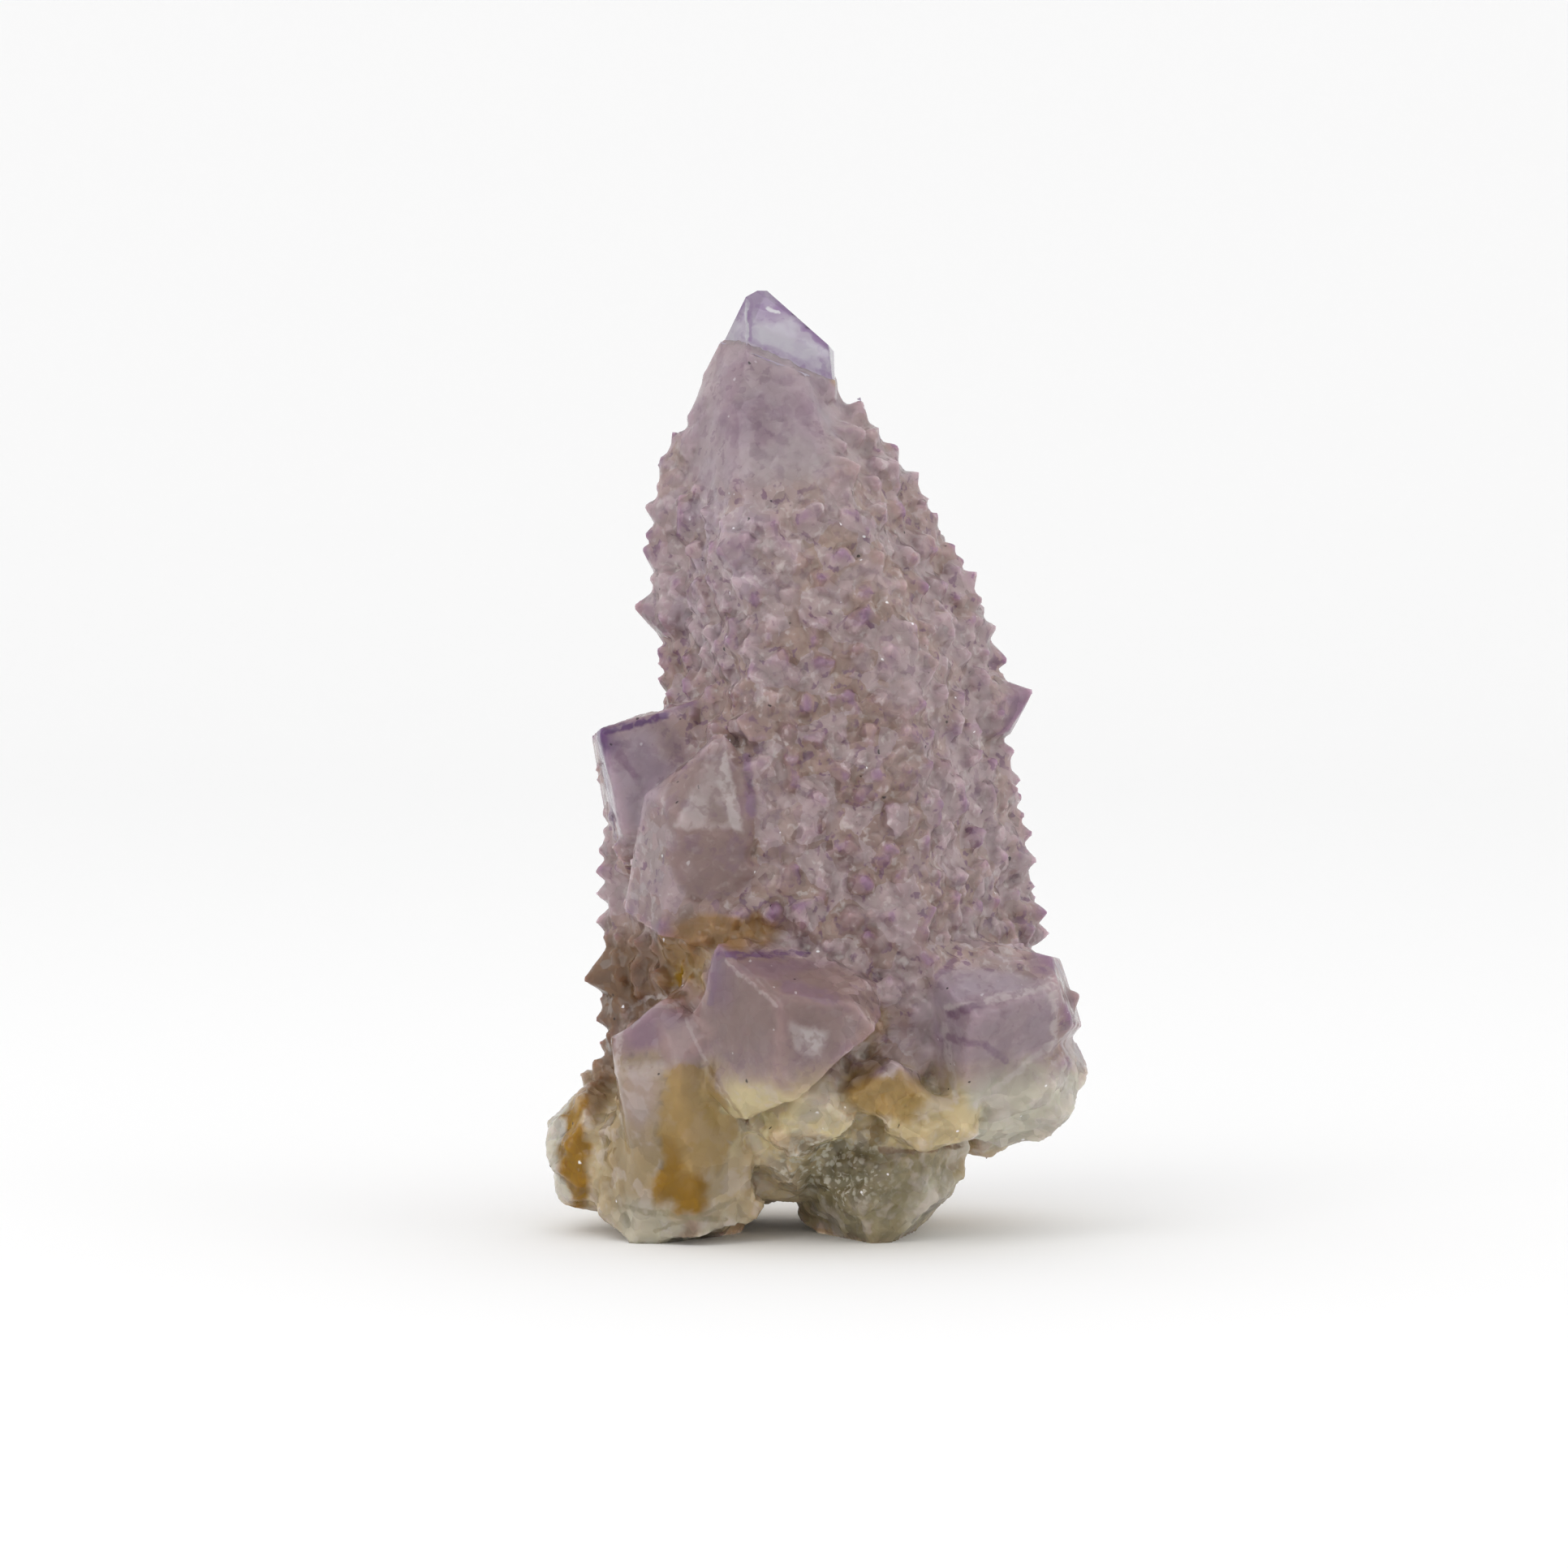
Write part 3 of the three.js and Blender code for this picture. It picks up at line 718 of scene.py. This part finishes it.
def colour_in(skin):
    """Writes the broad zones of the ground colour, and over them the iron staining, the violet at
    the tips and a painted light on one face.
    """
    ground = Coats(skin.places, MAUVE, 1.0)
    ground.patches(GROUNDS + FROSTING)
    height = ground.stirred[:, 2]
    ground.lay(CREAM, 0.75 * (1 - ramp(height, BASE_FADE_LOW, BASE_FADE_HIGH)))
    ground.patches(ZONES)
    ground.write(skin.mesh, "ground")
    # These coats hold iron stains, violet at the tips, and painted light on the shaded left face
    # of the right foot crystal
    stains_and_light = Coats(skin.places)
    stains_and_light.panels(BROAD_PANELS)
    stains_and_light.patches(STAINS + GLOWS)
    stains_and_light.write(skin.mesh, "stain_and_light")
    set_values(skin.mesh, "stain cover", stains_and_light.cover)


# The tone of a face rises and falls in three waves as its normal turns
TONE_WAVES = np.array([[5.1, 3.7, 2.9], [-3.3, 6.1, 4.3], [4.7, -2.3, 7.1]])


def mark(skin):
    """Writes how far each corner stands out or lies in, its tone, and where it is clean."""
    clean = clean_share(skin)
    normals = skin.normals()
    relief = skin.relief()
    set_values(skin.mesh, "tip", ramp(relief, 0.12, 0.6) * (1 - clean))
    # How far a corner lies in: the material paints light into these hollows
    set_values(skin.mesh, "hollow", ramp(-relief, 0.02, 0.35))
    set_values(skin.mesh, "tone", 0.5 + np.sin(normals @ TONE_WAVES.T).sum(axis=1) / 6)
    set_values(skin.mesh, "clean", clean)


# The body and the cap

def below_planes(sunk):
    """A block that fills all that lies below the step's planes, when they are sunk."""
    left, right = (half_space(point - up * sunk, -up) for point, up in STEP_PLANES)
    return combine(left, right, "INTERSECT")


def make_body(whole):
    """The milky body below the step, with its crystals, chips and grains in one skin."""
    rough = combine(whole, below_planes(0.0), "INTERSECT")
    additions = [base_chips(rough), grains(rough), fine_druse(rough)]
    skin = Skin(grown_together([rough] + additions, SKIN_GRAIN))
    wear(skin)
    roughen(skin)
    stand_flat(skin)
    mesh = thinned_out(skin)
    skin = Skin(mesh)
    mark(skin)
    colour_in(skin)
    mesh.polygons.foreach_set("use_smooth", [True] * len(mesh.polygons))
    return object_from(mesh, "milky_body")


def make_cap(whole):
    """The clear tip above the step."""
    mesh = combine(whole, below_planes(CAP_ROOT), "DIFFERENCE")
    slim = Matrix.Diagonal((CAP_SLIM, CAP_SLIM, 1, 1))
    about = Matrix.Translation(CAP_AXIS * MM)
    mesh.transform(about @ slim @ about.inverted())
    return object_from(mesh, "clear_cap")


whole = welded_copy(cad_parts[NODE])
body = make_body(whole.copy())
cap = make_cap(whole)
for piece in (body, cap):
    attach(piece, "root")
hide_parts(NODE)


# Shader nodes

class Graph:
    """The nodes of a material or a node group, wired as they are made."""

    def __init__(self, tree):
        self.tree = tree

    def add(self, kind, inputs=None, **settings):
        node = self.tree.nodes.new(kind)
        for name, value in settings.items():
            setattr(node, name, value)
        for name, value in (inputs or {}).items():
            self.feed(node.inputs[name], value)
        return node

    def feed(self, socket, value):
        if isinstance(value, bpy.types.NodeSocket):
            self.tree.links.new(value, socket)
        else:
            socket.default_value = value

    def maths(self, operation, a, b=0.0):
        return self.add("ShaderNodeMath", {0: a, 1: b}, operation=operation).outputs[0]

    def vector(self, operation, a, b=(0, 0, 0), c=(0, 0, 0)):
        node = self.add("ShaderNodeVectorMath", {0: a, 1: b, 2: c}, operation=operation)
        return node.outputs[0]

    def dot(self, a, b):
        node = self.add("ShaderNodeVectorMath", {0: a, 1: b}, operation="DOT_PRODUCT")
        return node.outputs["Value"]

    def length(self, a):
        node = self.add("ShaderNodeVectorMath", {0: a}, operation="LENGTH")
        return node.outputs["Value"]

    def distance(self, a, b):
        node = self.add("ShaderNodeVectorMath", {0: a, 1: b}, operation="DISTANCE")
        return node.outputs["Value"]

    def stretched(self, a, by):
        node = self.add("ShaderNodeVectorMath", {0: a, "Scale": by}, operation="SCALE")
        return node.outputs[0]

    def clamped(self, value):
        return self.maths("MINIMUM", self.maths("MAXIMUM", value, 0.0), 1.0)

    def ramp(self, value, low, high, start=0.0, end=1.0):
        """The value between low and high, eased from start to end."""
        inputs = {"Value": value, "From Min": low, "From Max": high,
                  "To Min": start, "To Max": end}
        node = self.add("ShaderNodeMapRange", inputs, interpolation_type="SMOOTHSTEP")
        return node.outputs["Result"]

    def mix(self, factor, a, b, blend="MIX"):
        node = self.add("ShaderNodeMix", data_type="RGBA", blend_type=blend)
        for name, value in (("Factor", factor), ("A", a), ("B", b)):
            sockets = [s for s in node.inputs if s.name == name and s.enabled]
            if name != "Factor" and not isinstance(value, bpy.types.NodeSocket):
                value = (*value, 1)
            self.feed(sockets[0], value)
        return next(s for s in node.outputs if s.enabled)


def new_group(name, inputs, outputs):
    """An empty node group with a Place input, more inputs and its outputs."""
    tree = bpy.data.node_groups.new(name, "ShaderNodeTree")
    tree.interface.new_socket("Place", in_out="INPUT", socket_type="NodeSocketVector")
    for socket, kind in inputs:
        tree.interface.new_socket(socket, in_out="INPUT", socket_type="NodeSocket" + kind)
    for socket in outputs:
        tree.interface.new_socket(socket, in_out="OUTPUT", socket_type="NodeSocketFloat")
    graph = Graph(tree)
    return graph, graph.add("NodeGroupInput").outputs, graph.add("NodeGroupOutput")


# Each cell of a net has a random value, and the others are the cells above this one
OTHERS_FROM = 0.75


def speck_group():
    """Round specks of one size in some cells of a loose net, and in some of the rest."""
    graph, given, end = new_group("specks", [("Scale", "Float"), ("Size", "Float"),
                                             ("Share", "Float")], ("Some", "Others"))
    inputs = {"Vector": given["Place"], "Scale": given["Scale"]}
    cells = graph.add("ShaderNodeTexVoronoi", inputs)
    inner = graph.maths("MULTIPLY", given["Size"], 0.5)
    dot = graph.ramp(cells.outputs["Distance"], inner, given["Size"], 1.0, 0.0)
    shade = graph.add("ShaderNodeSeparateColor", {"Color": cells.outputs["Color"]})
    some = graph.maths("LESS_THAN", shade.outputs[0], given["Share"])
    others = graph.maths("GREATER_THAN", shade.outputs[0], OTHERS_FROM)
    graph.feed(end.inputs["Some"], graph.maths("MULTIPLY", dot, some))
    graph.feed(end.inputs["Others"], graph.maths("MULTIPLY", dot, others))
    return graph.tree


def facet_group():
    """Small flat facets, each with a tilt and a tone of its own."""
    graph, given, end = new_group("facets", [("Scale", "Float")], ("Height", "Tone"))
    inputs = {"Vector": given["Place"], "Scale": given["Scale"]}
    cells = graph.add("ShaderNodeTexVoronoi", inputs)
    off = graph.vector("SUBTRACT", given["Place"], cells.outputs["Position"])
    tilt = graph.vector("SUBTRACT", cells.outputs["Color"], (0.5, 0.5, 0.5))
    graph.feed(end.inputs["Height"], graph.dot(off, tilt))
    shade = graph.add("ShaderNodeSeparateColor", {"Color": cells.outputs["Color"]})
    graph.feed(end.inputs["Tone"], shade.outputs[1])
    return graph.tree


SPECKS = speck_group()
FACETS = facet_group()


class Paint(Graph):
    """The colour of a crystal, laid on coat by coat at places in millimetres."""

    def __init__(self, material, front_from, front_to):
        super().__init__(material.node_tree)
        coordinates = self.add("ShaderNodeTexCoord").outputs["Object"]
        self.place = self.vector("MULTIPLY", coordinates, (1 / MM, 1 / MM, 1 / MM))
        self.stirred = self.stir(scale=0.4, reach=3.2)
        self.ragged = self.stir(scale=0.9, reach=0.9)
        self.flat = self.vector("MULTIPLY", self.ragged, (1, 0, 1))
        self.mottle = self.cloud(self.ragged, 0.9)
        side = self.add("ShaderNodeSeparateXYZ", {"Vector": self.place}).outputs["Y"]
        self.front = self.times(self.ramp(side, front_from, front_to),
                                self.ramp(self.mottle, 0.36, 0.5, 0.4, 1.0))
        self.colour = None

    def stir(self, scale, reach):
        """The places, each moved a little way by a noise."""
        inputs = {"Vector": self.place, "Scale": scale, "Detail": 2.0}
        shift = self.add("ShaderNodeTexNoise", inputs)
        offset = self.vector("SUBTRACT", shift.outputs["Color"], (0.5, 0.5, 0.5))
        offset = self.vector("MULTIPLY", offset, (reach, reach, reach))
        return self.vector("ADD", self.place, offset)

    def cloud(self, place, scale):
        """Soft clouds of one size, as values on both sides of a half."""
        inputs = {"Vector": place, "Scale": scale, "Detail": 2.0}
        return self.add("ShaderNodeTexNoise", inputs).outputs["Fac"]

    def group(self, tree, place, **values):
        return self.add("ShaderNodeGroup", {"Place": place, **values}, node_tree=tree).outputs

    def attribute(self, name, output="Fac"):
        return self.add("ShaderNodeAttribute", attribute_name=name).outputs[output]

    def times(self, *masks):
        result = masks[0]
        for mask in masks[1:]:
            result = self.maths("MULTIPLY", result, mask)
        return result

    def coat(self, colour, mask, blend="MIX"):
        self.colour = self.mix(mask, self.colour, colour, blend)

    def patch(self, strength, edge, centre, radii):
        """A soft-edged blob at one place."""
        scale = [1 / radius for radius in radii]
        shift = [-middle / radius for middle, radius in zip(centre, radii)]
        reach = self.length(self.vector("MULTIPLY_ADD", self.stirred, scale, shift))
        return self.ramp(reach, 1 - edge, 1 + edge, strength, 0.0)

    def patches(self, rows):
        """Coats of colour at places: each row is (colour, strength, edge, centre, radii)."""
        for colour, *patch in rows:
            self.coat(colour, self.patch(*patch))

    def streaks(self, rows):
        """Lines on the front: each row is (colour, strength, width, start, end)."""
        for colour, strength, width, (x0, z0), (x1, z1) in rows:
            way = Vector((x1 - x0, 0, z1 - z0))
            away = self.vector("SUBTRACT", self.flat, (x0, 0, z0))
            share = self.clamped(self.dot(away, way / way.length_squared))
            off = self.distance(away, self.stretched(way, share))
            mask = self.ramp(off, 0.3 * width, width, strength, 0.0)
            self.coat(colour, self.times(mask, self.front))

    def panels(self, rows):
        """Faces on the front: each row is (colour, strength, edge, corners clockwise)."""
        for colour, strength, edge, corners in rows:
            mask = self.front
            for (x0, z0), (x1, z1) in zip(corners, corners[1:] + corners[:1]):
                inward = Vector((z1 - z0, 0, x0 - x1)).normalized()
                line = inward.dot(Vector((x0, 0, z0)))
                reach = self.dot(self.ragged, inward)
                mask = self.times(mask, self.ramp(reach, line - edge, line + edge))
            self.coat(colour, self.times(mask, strength))


QUARTZ_IOR = 1.54


def new_material(name):
    material = bpy.data.materials.new(name)
    material.use_nodes = True
    return material, material.node_tree.nodes["Principled BSDF"]


# Faces and lines on the front of the body, by places across and up
PANELS = [
    (WHITISH, 0.38, 0.3, [(-9.1, 50.2), (-7.2, 41.6), (-14.1, 41.8)]),
    (WHITISH, 0.6, 0.25, [(-9.1, 50.0), (-7.2, 41.6), (-8.2, 41.7), (-9.9, 46.5)]),
    (WHITISH, 0.32, 0.4, [(-12.4, 45.6), (-10.8, 44.5), (-11.0, 41.9), (-14.1, 41.8)]),
    (BROWN, 0.35, 0.4, [(-10.4, 45.0), (-9.4, 44.0), (-8.6, 42.4), (-10.6, 42.2)]),
    (WHITISH, 0.8, 0.2, [(-22.6, 49.5), (-21.4, 49.3), (-20.3, 40.0), (-21.2, 41.0)]),
    (WHITISH, 0.5, 0.4, [(-2.8, 23.2), (1.3, 22.4), (0.2, 19.4), (-2.2, 20.6)]),
    (WHITISH, 0.7, 0.25, [(-1.6, 22.6), (0.8, 22.0), (0.1, 20.2), (-1.4, 21.0)]),
    (PALE_MAUVE, 0.8, 0.4, [(7.4, 57.8), (10.0, 58.8), (11.8, 55.5), (9.0, 53.0), (7.2, 55.0)]),
    (PALE_MAUVE, 0.7, 0.3, [(9.2, 40.2), (11.3, 37.2), (8.8, 37.0)]),
    (WHITISH, 0.8, 0.15, [(8.6, 28.9), (9.2, 28.3), (8.6, 27.6), (8.0, 28.3)]),
    (WHITISH, 0.6, 0.3, [(3.4, 20.6), (5.4, 20.4), (4.8, 18.4), (3.4, 18.7)]),
    (WHITISH, 0.6, 0.3, [(6.6, 18.6), (8.0, 18.4), (7.6, 16.9), (6.4, 17.2)]),
]
STREAKS = [
    (DEEP_VIOLET, 0.9, 0.55, (-21.8, 50.6), (-15.0, 52.4)),
    (DEEP_VIOLET, 0.75, 0.5, (-21.7, 50.0), (-20.3, 39.8)),
    (VIOLET, 0.7, 0.6, (-19.6, 48.6), (-18.0, 46.4)),
    (VIOLET, 0.9, 0.7, (-6.9, 48.6), (-6.4, 43.2)),
    (DEEP_VIOLET, 0.7, 0.4, (-9.6, 29.4), (-0.8, 29.3)),
    (VIOLET, 0.7, 0.5, (-9.8, 29.0), (-10.4, 24.5)),
    (WHITISH, 0.4, 0.3, (-9.0, 28.8), (-3.9, 24.8)),
    (VIOLET, 0.5, 0.9, (-3.0, 26.6), (1.6, 25.4)),
    (WHITISH, 0.55, 0.5, (12.9, 24.0), (23.2, 26.1)),
    (WHITISH, 0.55, 0.5, (23.5, 26.0), (23.6, 20.3)),
    (WHITISH, 0.45, 0.5, (12.6, 22.2), (13.9, 14.6)),
    (WHITISH, 0.45, 0.5, (15.8, 14.2), (23.4, 20.2)),
    (DARK_VIOLET, 0.7, 0.6, (13.2, 23.4), (16.2, 24.6)),
    (VIOLET, 0.7, 0.6, (13.1, 21.0), (16.6, 20.5)),
    (VIOLET, 0.6, 0.5, (16.6, 20.5), (18.7, 18.6)),
    (VIOLET, 0.7, 0.5, (12.0, 27.0), (13.6, 28.4)),
    (DEEP_VIOLET, 0.6, 0.35, (21.7, 54.1), (19.4, 49.8)),
    (BROWN, 0.7, 0.4, (6.4, 9.5), (14.5, 9.2)),
    (WHITISH, 0.3, 0.3, (-12.8, 22.7), (-10.8, 18.5)),
    (BROWN, 0.4, 0.3, (-10.8, 18.5), (-6.5, 12.0)),
    # Painted shadow in the crease round the left foot crystal, laid over the dark ochre staining
    # there
    (BROWN, 0.8, 0.7, (-20.9, 17.0), (-20.2, 22.6)),
    (BROWN, 0.8, 0.7, (-20.2, 22.6), (-17.0, 24.9)),
    (BROWN, 0.8, 0.7, (-17.0, 24.9), (-13.2, 24.9)),
    (WHITISH, 0.5, 0.35, (-19.4, 21.9), (-16.9, 24.0)),
    (WHITISH, 0.5, 0.35, (-16.9, 24.0), (-13.6, 24.0)),
    (WHITISH, 0.5, 0.5, (-20.1, 15.0), (-19.4, 21.9)),
    (WHITISH, 0.35, 1.2, (-19.8, 17.4), (-15.4, 17.8)),
    (SMOKY, 0.6, 0.4, (-19.0, 3.6), (-9.0, 2.6)),
    (SMOKY, 0.5, 0.3, (-16.0, 1.4), (-8.0, 4.6)),
]

# A patch of crumbs at the front of the base: (strength, edge, centre, radii)
CRUMBS = (0.8, 0.5, (1.2, -14.0, 7.4), (5.8, 8.0, 4.4))


def paint_body():
    material, shader = new_material("milky amethyst")
    paint = Paint(material, front_from=-1.0, front_to=-4.0)
    paint.colour = paint.attribute("ground", "Color")
    tone = paint.attribute("tone")
    tip = paint.attribute("tip")
    hollow = paint.attribute("hollow")
    druse = paint.maths("SUBTRACT", 1.0, paint.attribute("clean"))
    height = paint.add("ShaderNodeSeparateXYZ", {"Vector": paint.ragged}).outputs["Z"]
    base = paint.ramp(height, BASE_FADE_HIGH, BASE_FADE_LOW)
    above = paint.maths("SUBTRACT", 1.0, base)

    # The milky ground with soft clouds and veils
    broad = paint.cloud(paint.place, 0.25)
    uneven = paint.ramp(broad, 0.42, 0.6)
    clouded = paint.times(above, paint.ramp(druse, 0.0, 1.0, 0.3, 1.0))
    paint.coat(WARM, paint.times(uneven, clouded, 0.45))
    paint.coat(PALE_MAUVE, paint.times(paint.ramp(broad, 0.48, 0.34), clouded, 0.7))
    veils = paint.ramp(paint.cloud(paint.ragged, 0.4), 0.5, 0.6)
    paint.coat(WHITISH, paint.times(veils, base, 0.3))
    paint.coat(VIOLET, paint.times(veils, above, paint.ramp(druse, 0.0, 1.0, 0.3, 0.0)))

    # Plates of paler and warmer milk with crisp edges, violet spots and tips, whitish wisps
    plates = paint.group(FACETS, paint.ragged, Scale=0.34)["Tone"]
    paint.coat(PALE_MAUVE, paint.times(paint.ramp(plates, 0.58, 0.6), druse, above, 0.75))
    paint.coat(WARM, paint.times(paint.ramp(plates, 0.22, 0.2), druse, above, 0.4))
    spots = paint.times(paint.ramp(paint.mottle, 0.44, 0.36), above,
                        paint.ramp(druse, 0.0, 1.0, 0.45, 1.0))
    paint.coat(DARK_VIOLET, paint.times(spots, paint.ramp(uneven, 0.0, 1.0, 0.25, 0.7)))
    wisps = paint.ramp(paint.mottle, 0.57, 0.7)
    wisps = paint.times(wisps, paint.ramp(druse, 0.0, 1.0, 0.3, 1.0))
    paint.coat(WHITISH, paint.times(wisps, paint.ramp(above, 0.0, 1.0, 0.15, 0.5)))
    paint.coat(VIOLET, paint.times(tip, uneven, above, 0.9))

    # Stains and a painted light on one face, and bright and sooty grains at the front of the base
    paint.coat(paint.attribute("stain_and_light", "Color"), paint.attribute("stain cover"))
    crumbs = paint.patch(*CRUMBS)
    paint.coat(SOOT, paint.times(crumbs, veils))
    grit = paint.group(SPECKS, paint.ragged, Scale=1.9, Size=0.8, Share=0.6)["Some"]
    paint.coat(GREENISH, paint.times(crumbs, grit, paint.ramp(paint.mottle, 0.42, 0.52)))

    # Single faces and lines, and tiny painted glints (painted highlights) and pits
    paint.panels(PANELS)
    paint.streaks(STREAKS)
    specks = paint.group(SPECKS, paint.ragged, Scale=0.45, Size=0.09, Share=0.4)
    paint.coat(GLINT_WHITE, paint.times(specks["Some"], paint.ramp(druse, 0.0, 1.0, 0.3, 0.85)))
    paint.coat(BLACK, paint.times(specks["Others"], 0.8))

    # Each face has its own tone, and painted light fills the hollows, standing in for light that
    # gathers inside the crystal
    facets = paint.group(FACETS, paint.place, Scale=0.8)
    facet_tone = paint.times(facets["Tone"], paint.ramp(druse, 0.0, 1.0, 0.05, 0.2))
    facet_tone = paint.maths("ADD", facet_tone, paint.times(plates, base, 0.2))
    light = paint.maths("ADD", paint.ramp(tone, 0.15, 0.85, 0.79, 0.93),
                        paint.ramp(hollow, 0.0, 1.0, 0.0, 0.22))
    light = paint.maths("ADD", light, facet_tone)
    grey = paint.add("ShaderNodeCombineXYZ", {"X": light, "Y": light, "Z": light}).outputs[0]
    paint.coat(grey, 1.0, "MULTIPLY")

    tilted = paint.times(facets["Height"], paint.ramp(druse, 0.0, 1.0, 0.1, 0.6))
    bump = paint.add("ShaderNodeBump", {"Height": tilted, "Strength": 1.0, "Distance": MM})
    paint.feed(shader.inputs["Base Color"], paint.colour)
    paint.feed(shader.inputs["Roughness"], paint.ramp(uneven, 0.0, 1.0, 0.12, 0.26))
    paint.feed(shader.inputs["Normal"], bump.outputs["Normal"])
    shader.inputs["IOR"].default_value = QUARTZ_IOR
    shader.inputs["Specular IOR Level"].default_value = 0.35
    shader.inputs["Subsurface Weight"].default_value = 1.0
    shader.inputs["Subsurface Radius"].default_value = (1.0, 0.8, 0.95)
    shader.inputs["Subsurface Scale"].default_value = 3.0 * MM
    return material


CAP_CLEAR = (0.54, 0.47, 0.57)
CAP_MILK = (0.70, 0.68, 0.74)
CAP_VIOLET = (0.33, 0.20, 0.40)
CAP_PATCHES = [
    (CAP_VIOLET, 0.5, 0.6, (-5.0, 0.0, 93.6), (2.8, 6.0, 1.6)),
    (CAP_VIOLET, 0.2, 0.6, (-0.4, 0.0, 87.9), (2.6, 6.0, 1.0)),
    (CAP_MILK, 0.7, 0.4, (-4.2, -3.0, 90.3), (2.6, 6.0, 1.2)),
    (CAP_MILK, 0.6, 0.4, (-1.2, -3.0, 89.0), (2.6, 6.0, 1.1)),
    (CAP_MILK, 0.5, 0.4, (-8.3, -1.0, 90.8), (1.2, 6.0, 0.8)),
]
CAP_STREAKS = [
    (CAP_VIOLET, 0.9, 0.8, (-3.4, 93.6), (1.6, 89.2)),
    (DEEP_VIOLET, 0.9, 0.3, (-2.3, 92.6), (-0.6, 91.2)),
    (CAP_VIOLET, 0.8, 0.6, (-7.2, 94.0), (-10.2, 90.0)),
    (CAP_VIOLET, 0.6, 0.35, (-6.7, 94.0), (-6.5, 90.0)),
    (CAP_MILK, 0.9, 0.25, (-7.0, 94.0), (-6.9, 90.0)),
    (CAP_VIOLET, 0.35, 0.4, (-6.6, 90.0), (1.8, 86.2)),
    # A painted glint (painted highlight) on the cap's right face
    (GLINT_WHITE, 1.0, 0.3, (-4.7, 93.2), (-3.7, 92.7)),
    (CAP_MILK, 1.0, 0.4, (1.6, 89.2), (2.0, 86.4)),
]


def paint_cap():
    material, shader = new_material("clear amethyst")
    paint = Paint(material, front_from=4.0, front_to=2.0)
    paint.colour = CAP_CLEAR
    haze = paint.ramp(paint.cloud(paint.ragged, 0.45), 0.45, 0.6)
    paint.coat(CAP_MILK, paint.times(haze, 0.5))
    paint.coat(CAP_VIOLET, paint.times(paint.ramp(paint.mottle, 0.5, 0.64), 0.5))
    paint.patches(CAP_PATCHES)
    paint.streaks(CAP_STREAKS)
    relief = paint.cloud(paint.place, 0.7)
    bump = paint.add("ShaderNodeBump", {"Height": relief, "Strength": 0.2,
                                        "Distance": 0.15 * MM})
    paint.feed(shader.inputs["Base Color"], paint.colour)
    paint.feed(shader.inputs["Normal"], bump.outputs["Normal"])
    shader.inputs["Roughness"].default_value = 0.1
    shader.inputs["IOR"].default_value = QUARTZ_IOR
    shader.inputs["Transmission Weight"].default_value = 0.45
    volume = paint.add("ShaderNodeVolumeAbsorption", {"Color": (0.72, 0.64, 0.76, 1),
                                                      "Density": 60.0})
    end = material.node_tree.nodes["Material Output"]
    paint.feed(end.inputs["Volume"], volume.outputs["Volume"])
    return material


for piece, material in ((body, paint_body()), (cap, paint_cap())):
    piece.data.materials.clear()
    piece.data.materials.append(material)


# Stage, lights and camera

def backdrop():
    """A floor that curves up into a wall behind the specimen."""
    sheet = bmesh.new()
    half, front, depth, rise, bend = 1.6, -1.6, 1.2, 1.6, 0.35
    outline = [(front, 0.0), (depth - bend, 0.0)]
    outline += [(depth - bend + bend * math.sin(a), bend - bend * math.cos(a))
                for a in np.linspace(0, math.pi / 2, 12)[1:]]
    outline.append((depth, rise))
    left = [sheet.verts.new((-half, y, z)) for y, z in outline]
    edges = [sheet.edges.new(pair) for pair in zip(left, left[1:])]
    wide = bmesh.ops.extrude_edge_only(sheet, edges=edges)
    moved = [part for part in wide["geom"] if isinstance(part, bmesh.types.BMVert)]
    bmesh.ops.translate(sheet, vec=(2 * half, 0, 0), verts=moved)
    bmesh.ops.recalc_face_normals(sheet, faces=sheet.faces)
    piece = object_from(mesh_from(sheet, "backdrop"), "backdrop")
    piece.data.polygons.foreach_set("use_smooth", [True] * len(piece.data.polygons))
    material, shader = new_material("pale studio paper")
    shader.inputs["Base Color"].default_value = (0.97, 0.97, 0.97, 1)
    shader.inputs["Roughness"].default_value = 0.9
    piece.data.materials.append(material)


def softbox(name, place, target, size, power):
    data = bpy.data.lights.new(name, "AREA")
    data.shape = "DISK"
    data.size = size
    data.energy = power
    lamp = bpy.data.objects.new(name, data)
    lamp.location = place
    aim = Vector(target) - Vector(place)
    lamp.rotation_euler = aim.to_track_quat("-Z", "Y").to_euler()
    bpy.context.scene.collection.objects.link(lamp)


backdrop()
MIDDLE = (0, 0, 0.045)
softbox("key softbox", (-0.35, -0.45, 0.6), MIDDLE, 0.5, 0.9)
softbox("fill softbox", (0.6, -0.35, 0.25), MIDDLE, 0.5, 0.35)

world = bpy.data.worlds.new("studio")
world.use_nodes = True
world.node_tree.nodes["Background"].inputs["Color"].default_value = (1, 1, 1, 1)
world.node_tree.nodes["Background"].inputs["Strength"].default_value = 0.95
bpy.context.scene.world = world

# The photograph's frame is 1932 pixels wide, at 12.2 pixels a millimetre
FRAME_WIDTH = 158.4 * MM
SENSOR = 36
DISTANCE = 0.65
ELEVATION = math.radians(3)
AIM = Vector((-3.2, 0, 45.2)) * MM
camera_data = bpy.data.cameras.new("camera")
camera_data.sensor_width = SENSOR
camera_data.lens = SENSOR * DISTANCE / FRAME_WIDTH
camera_data.clip_end = 10
camera = bpy.data.objects.new("camera", camera_data)
camera.location = AIM + DISTANCE * Vector((0, -math.cos(ELEVATION), math.sin(ELEVATION)))
camera.rotation_euler = (math.pi / 2 - ELEVATION, 0, 0)
bpy.context.scene.collection.objects.link(camera)
bpy.context.scene.camera = camera
bpy.context.scene.view_settings.view_transform = "Standard"
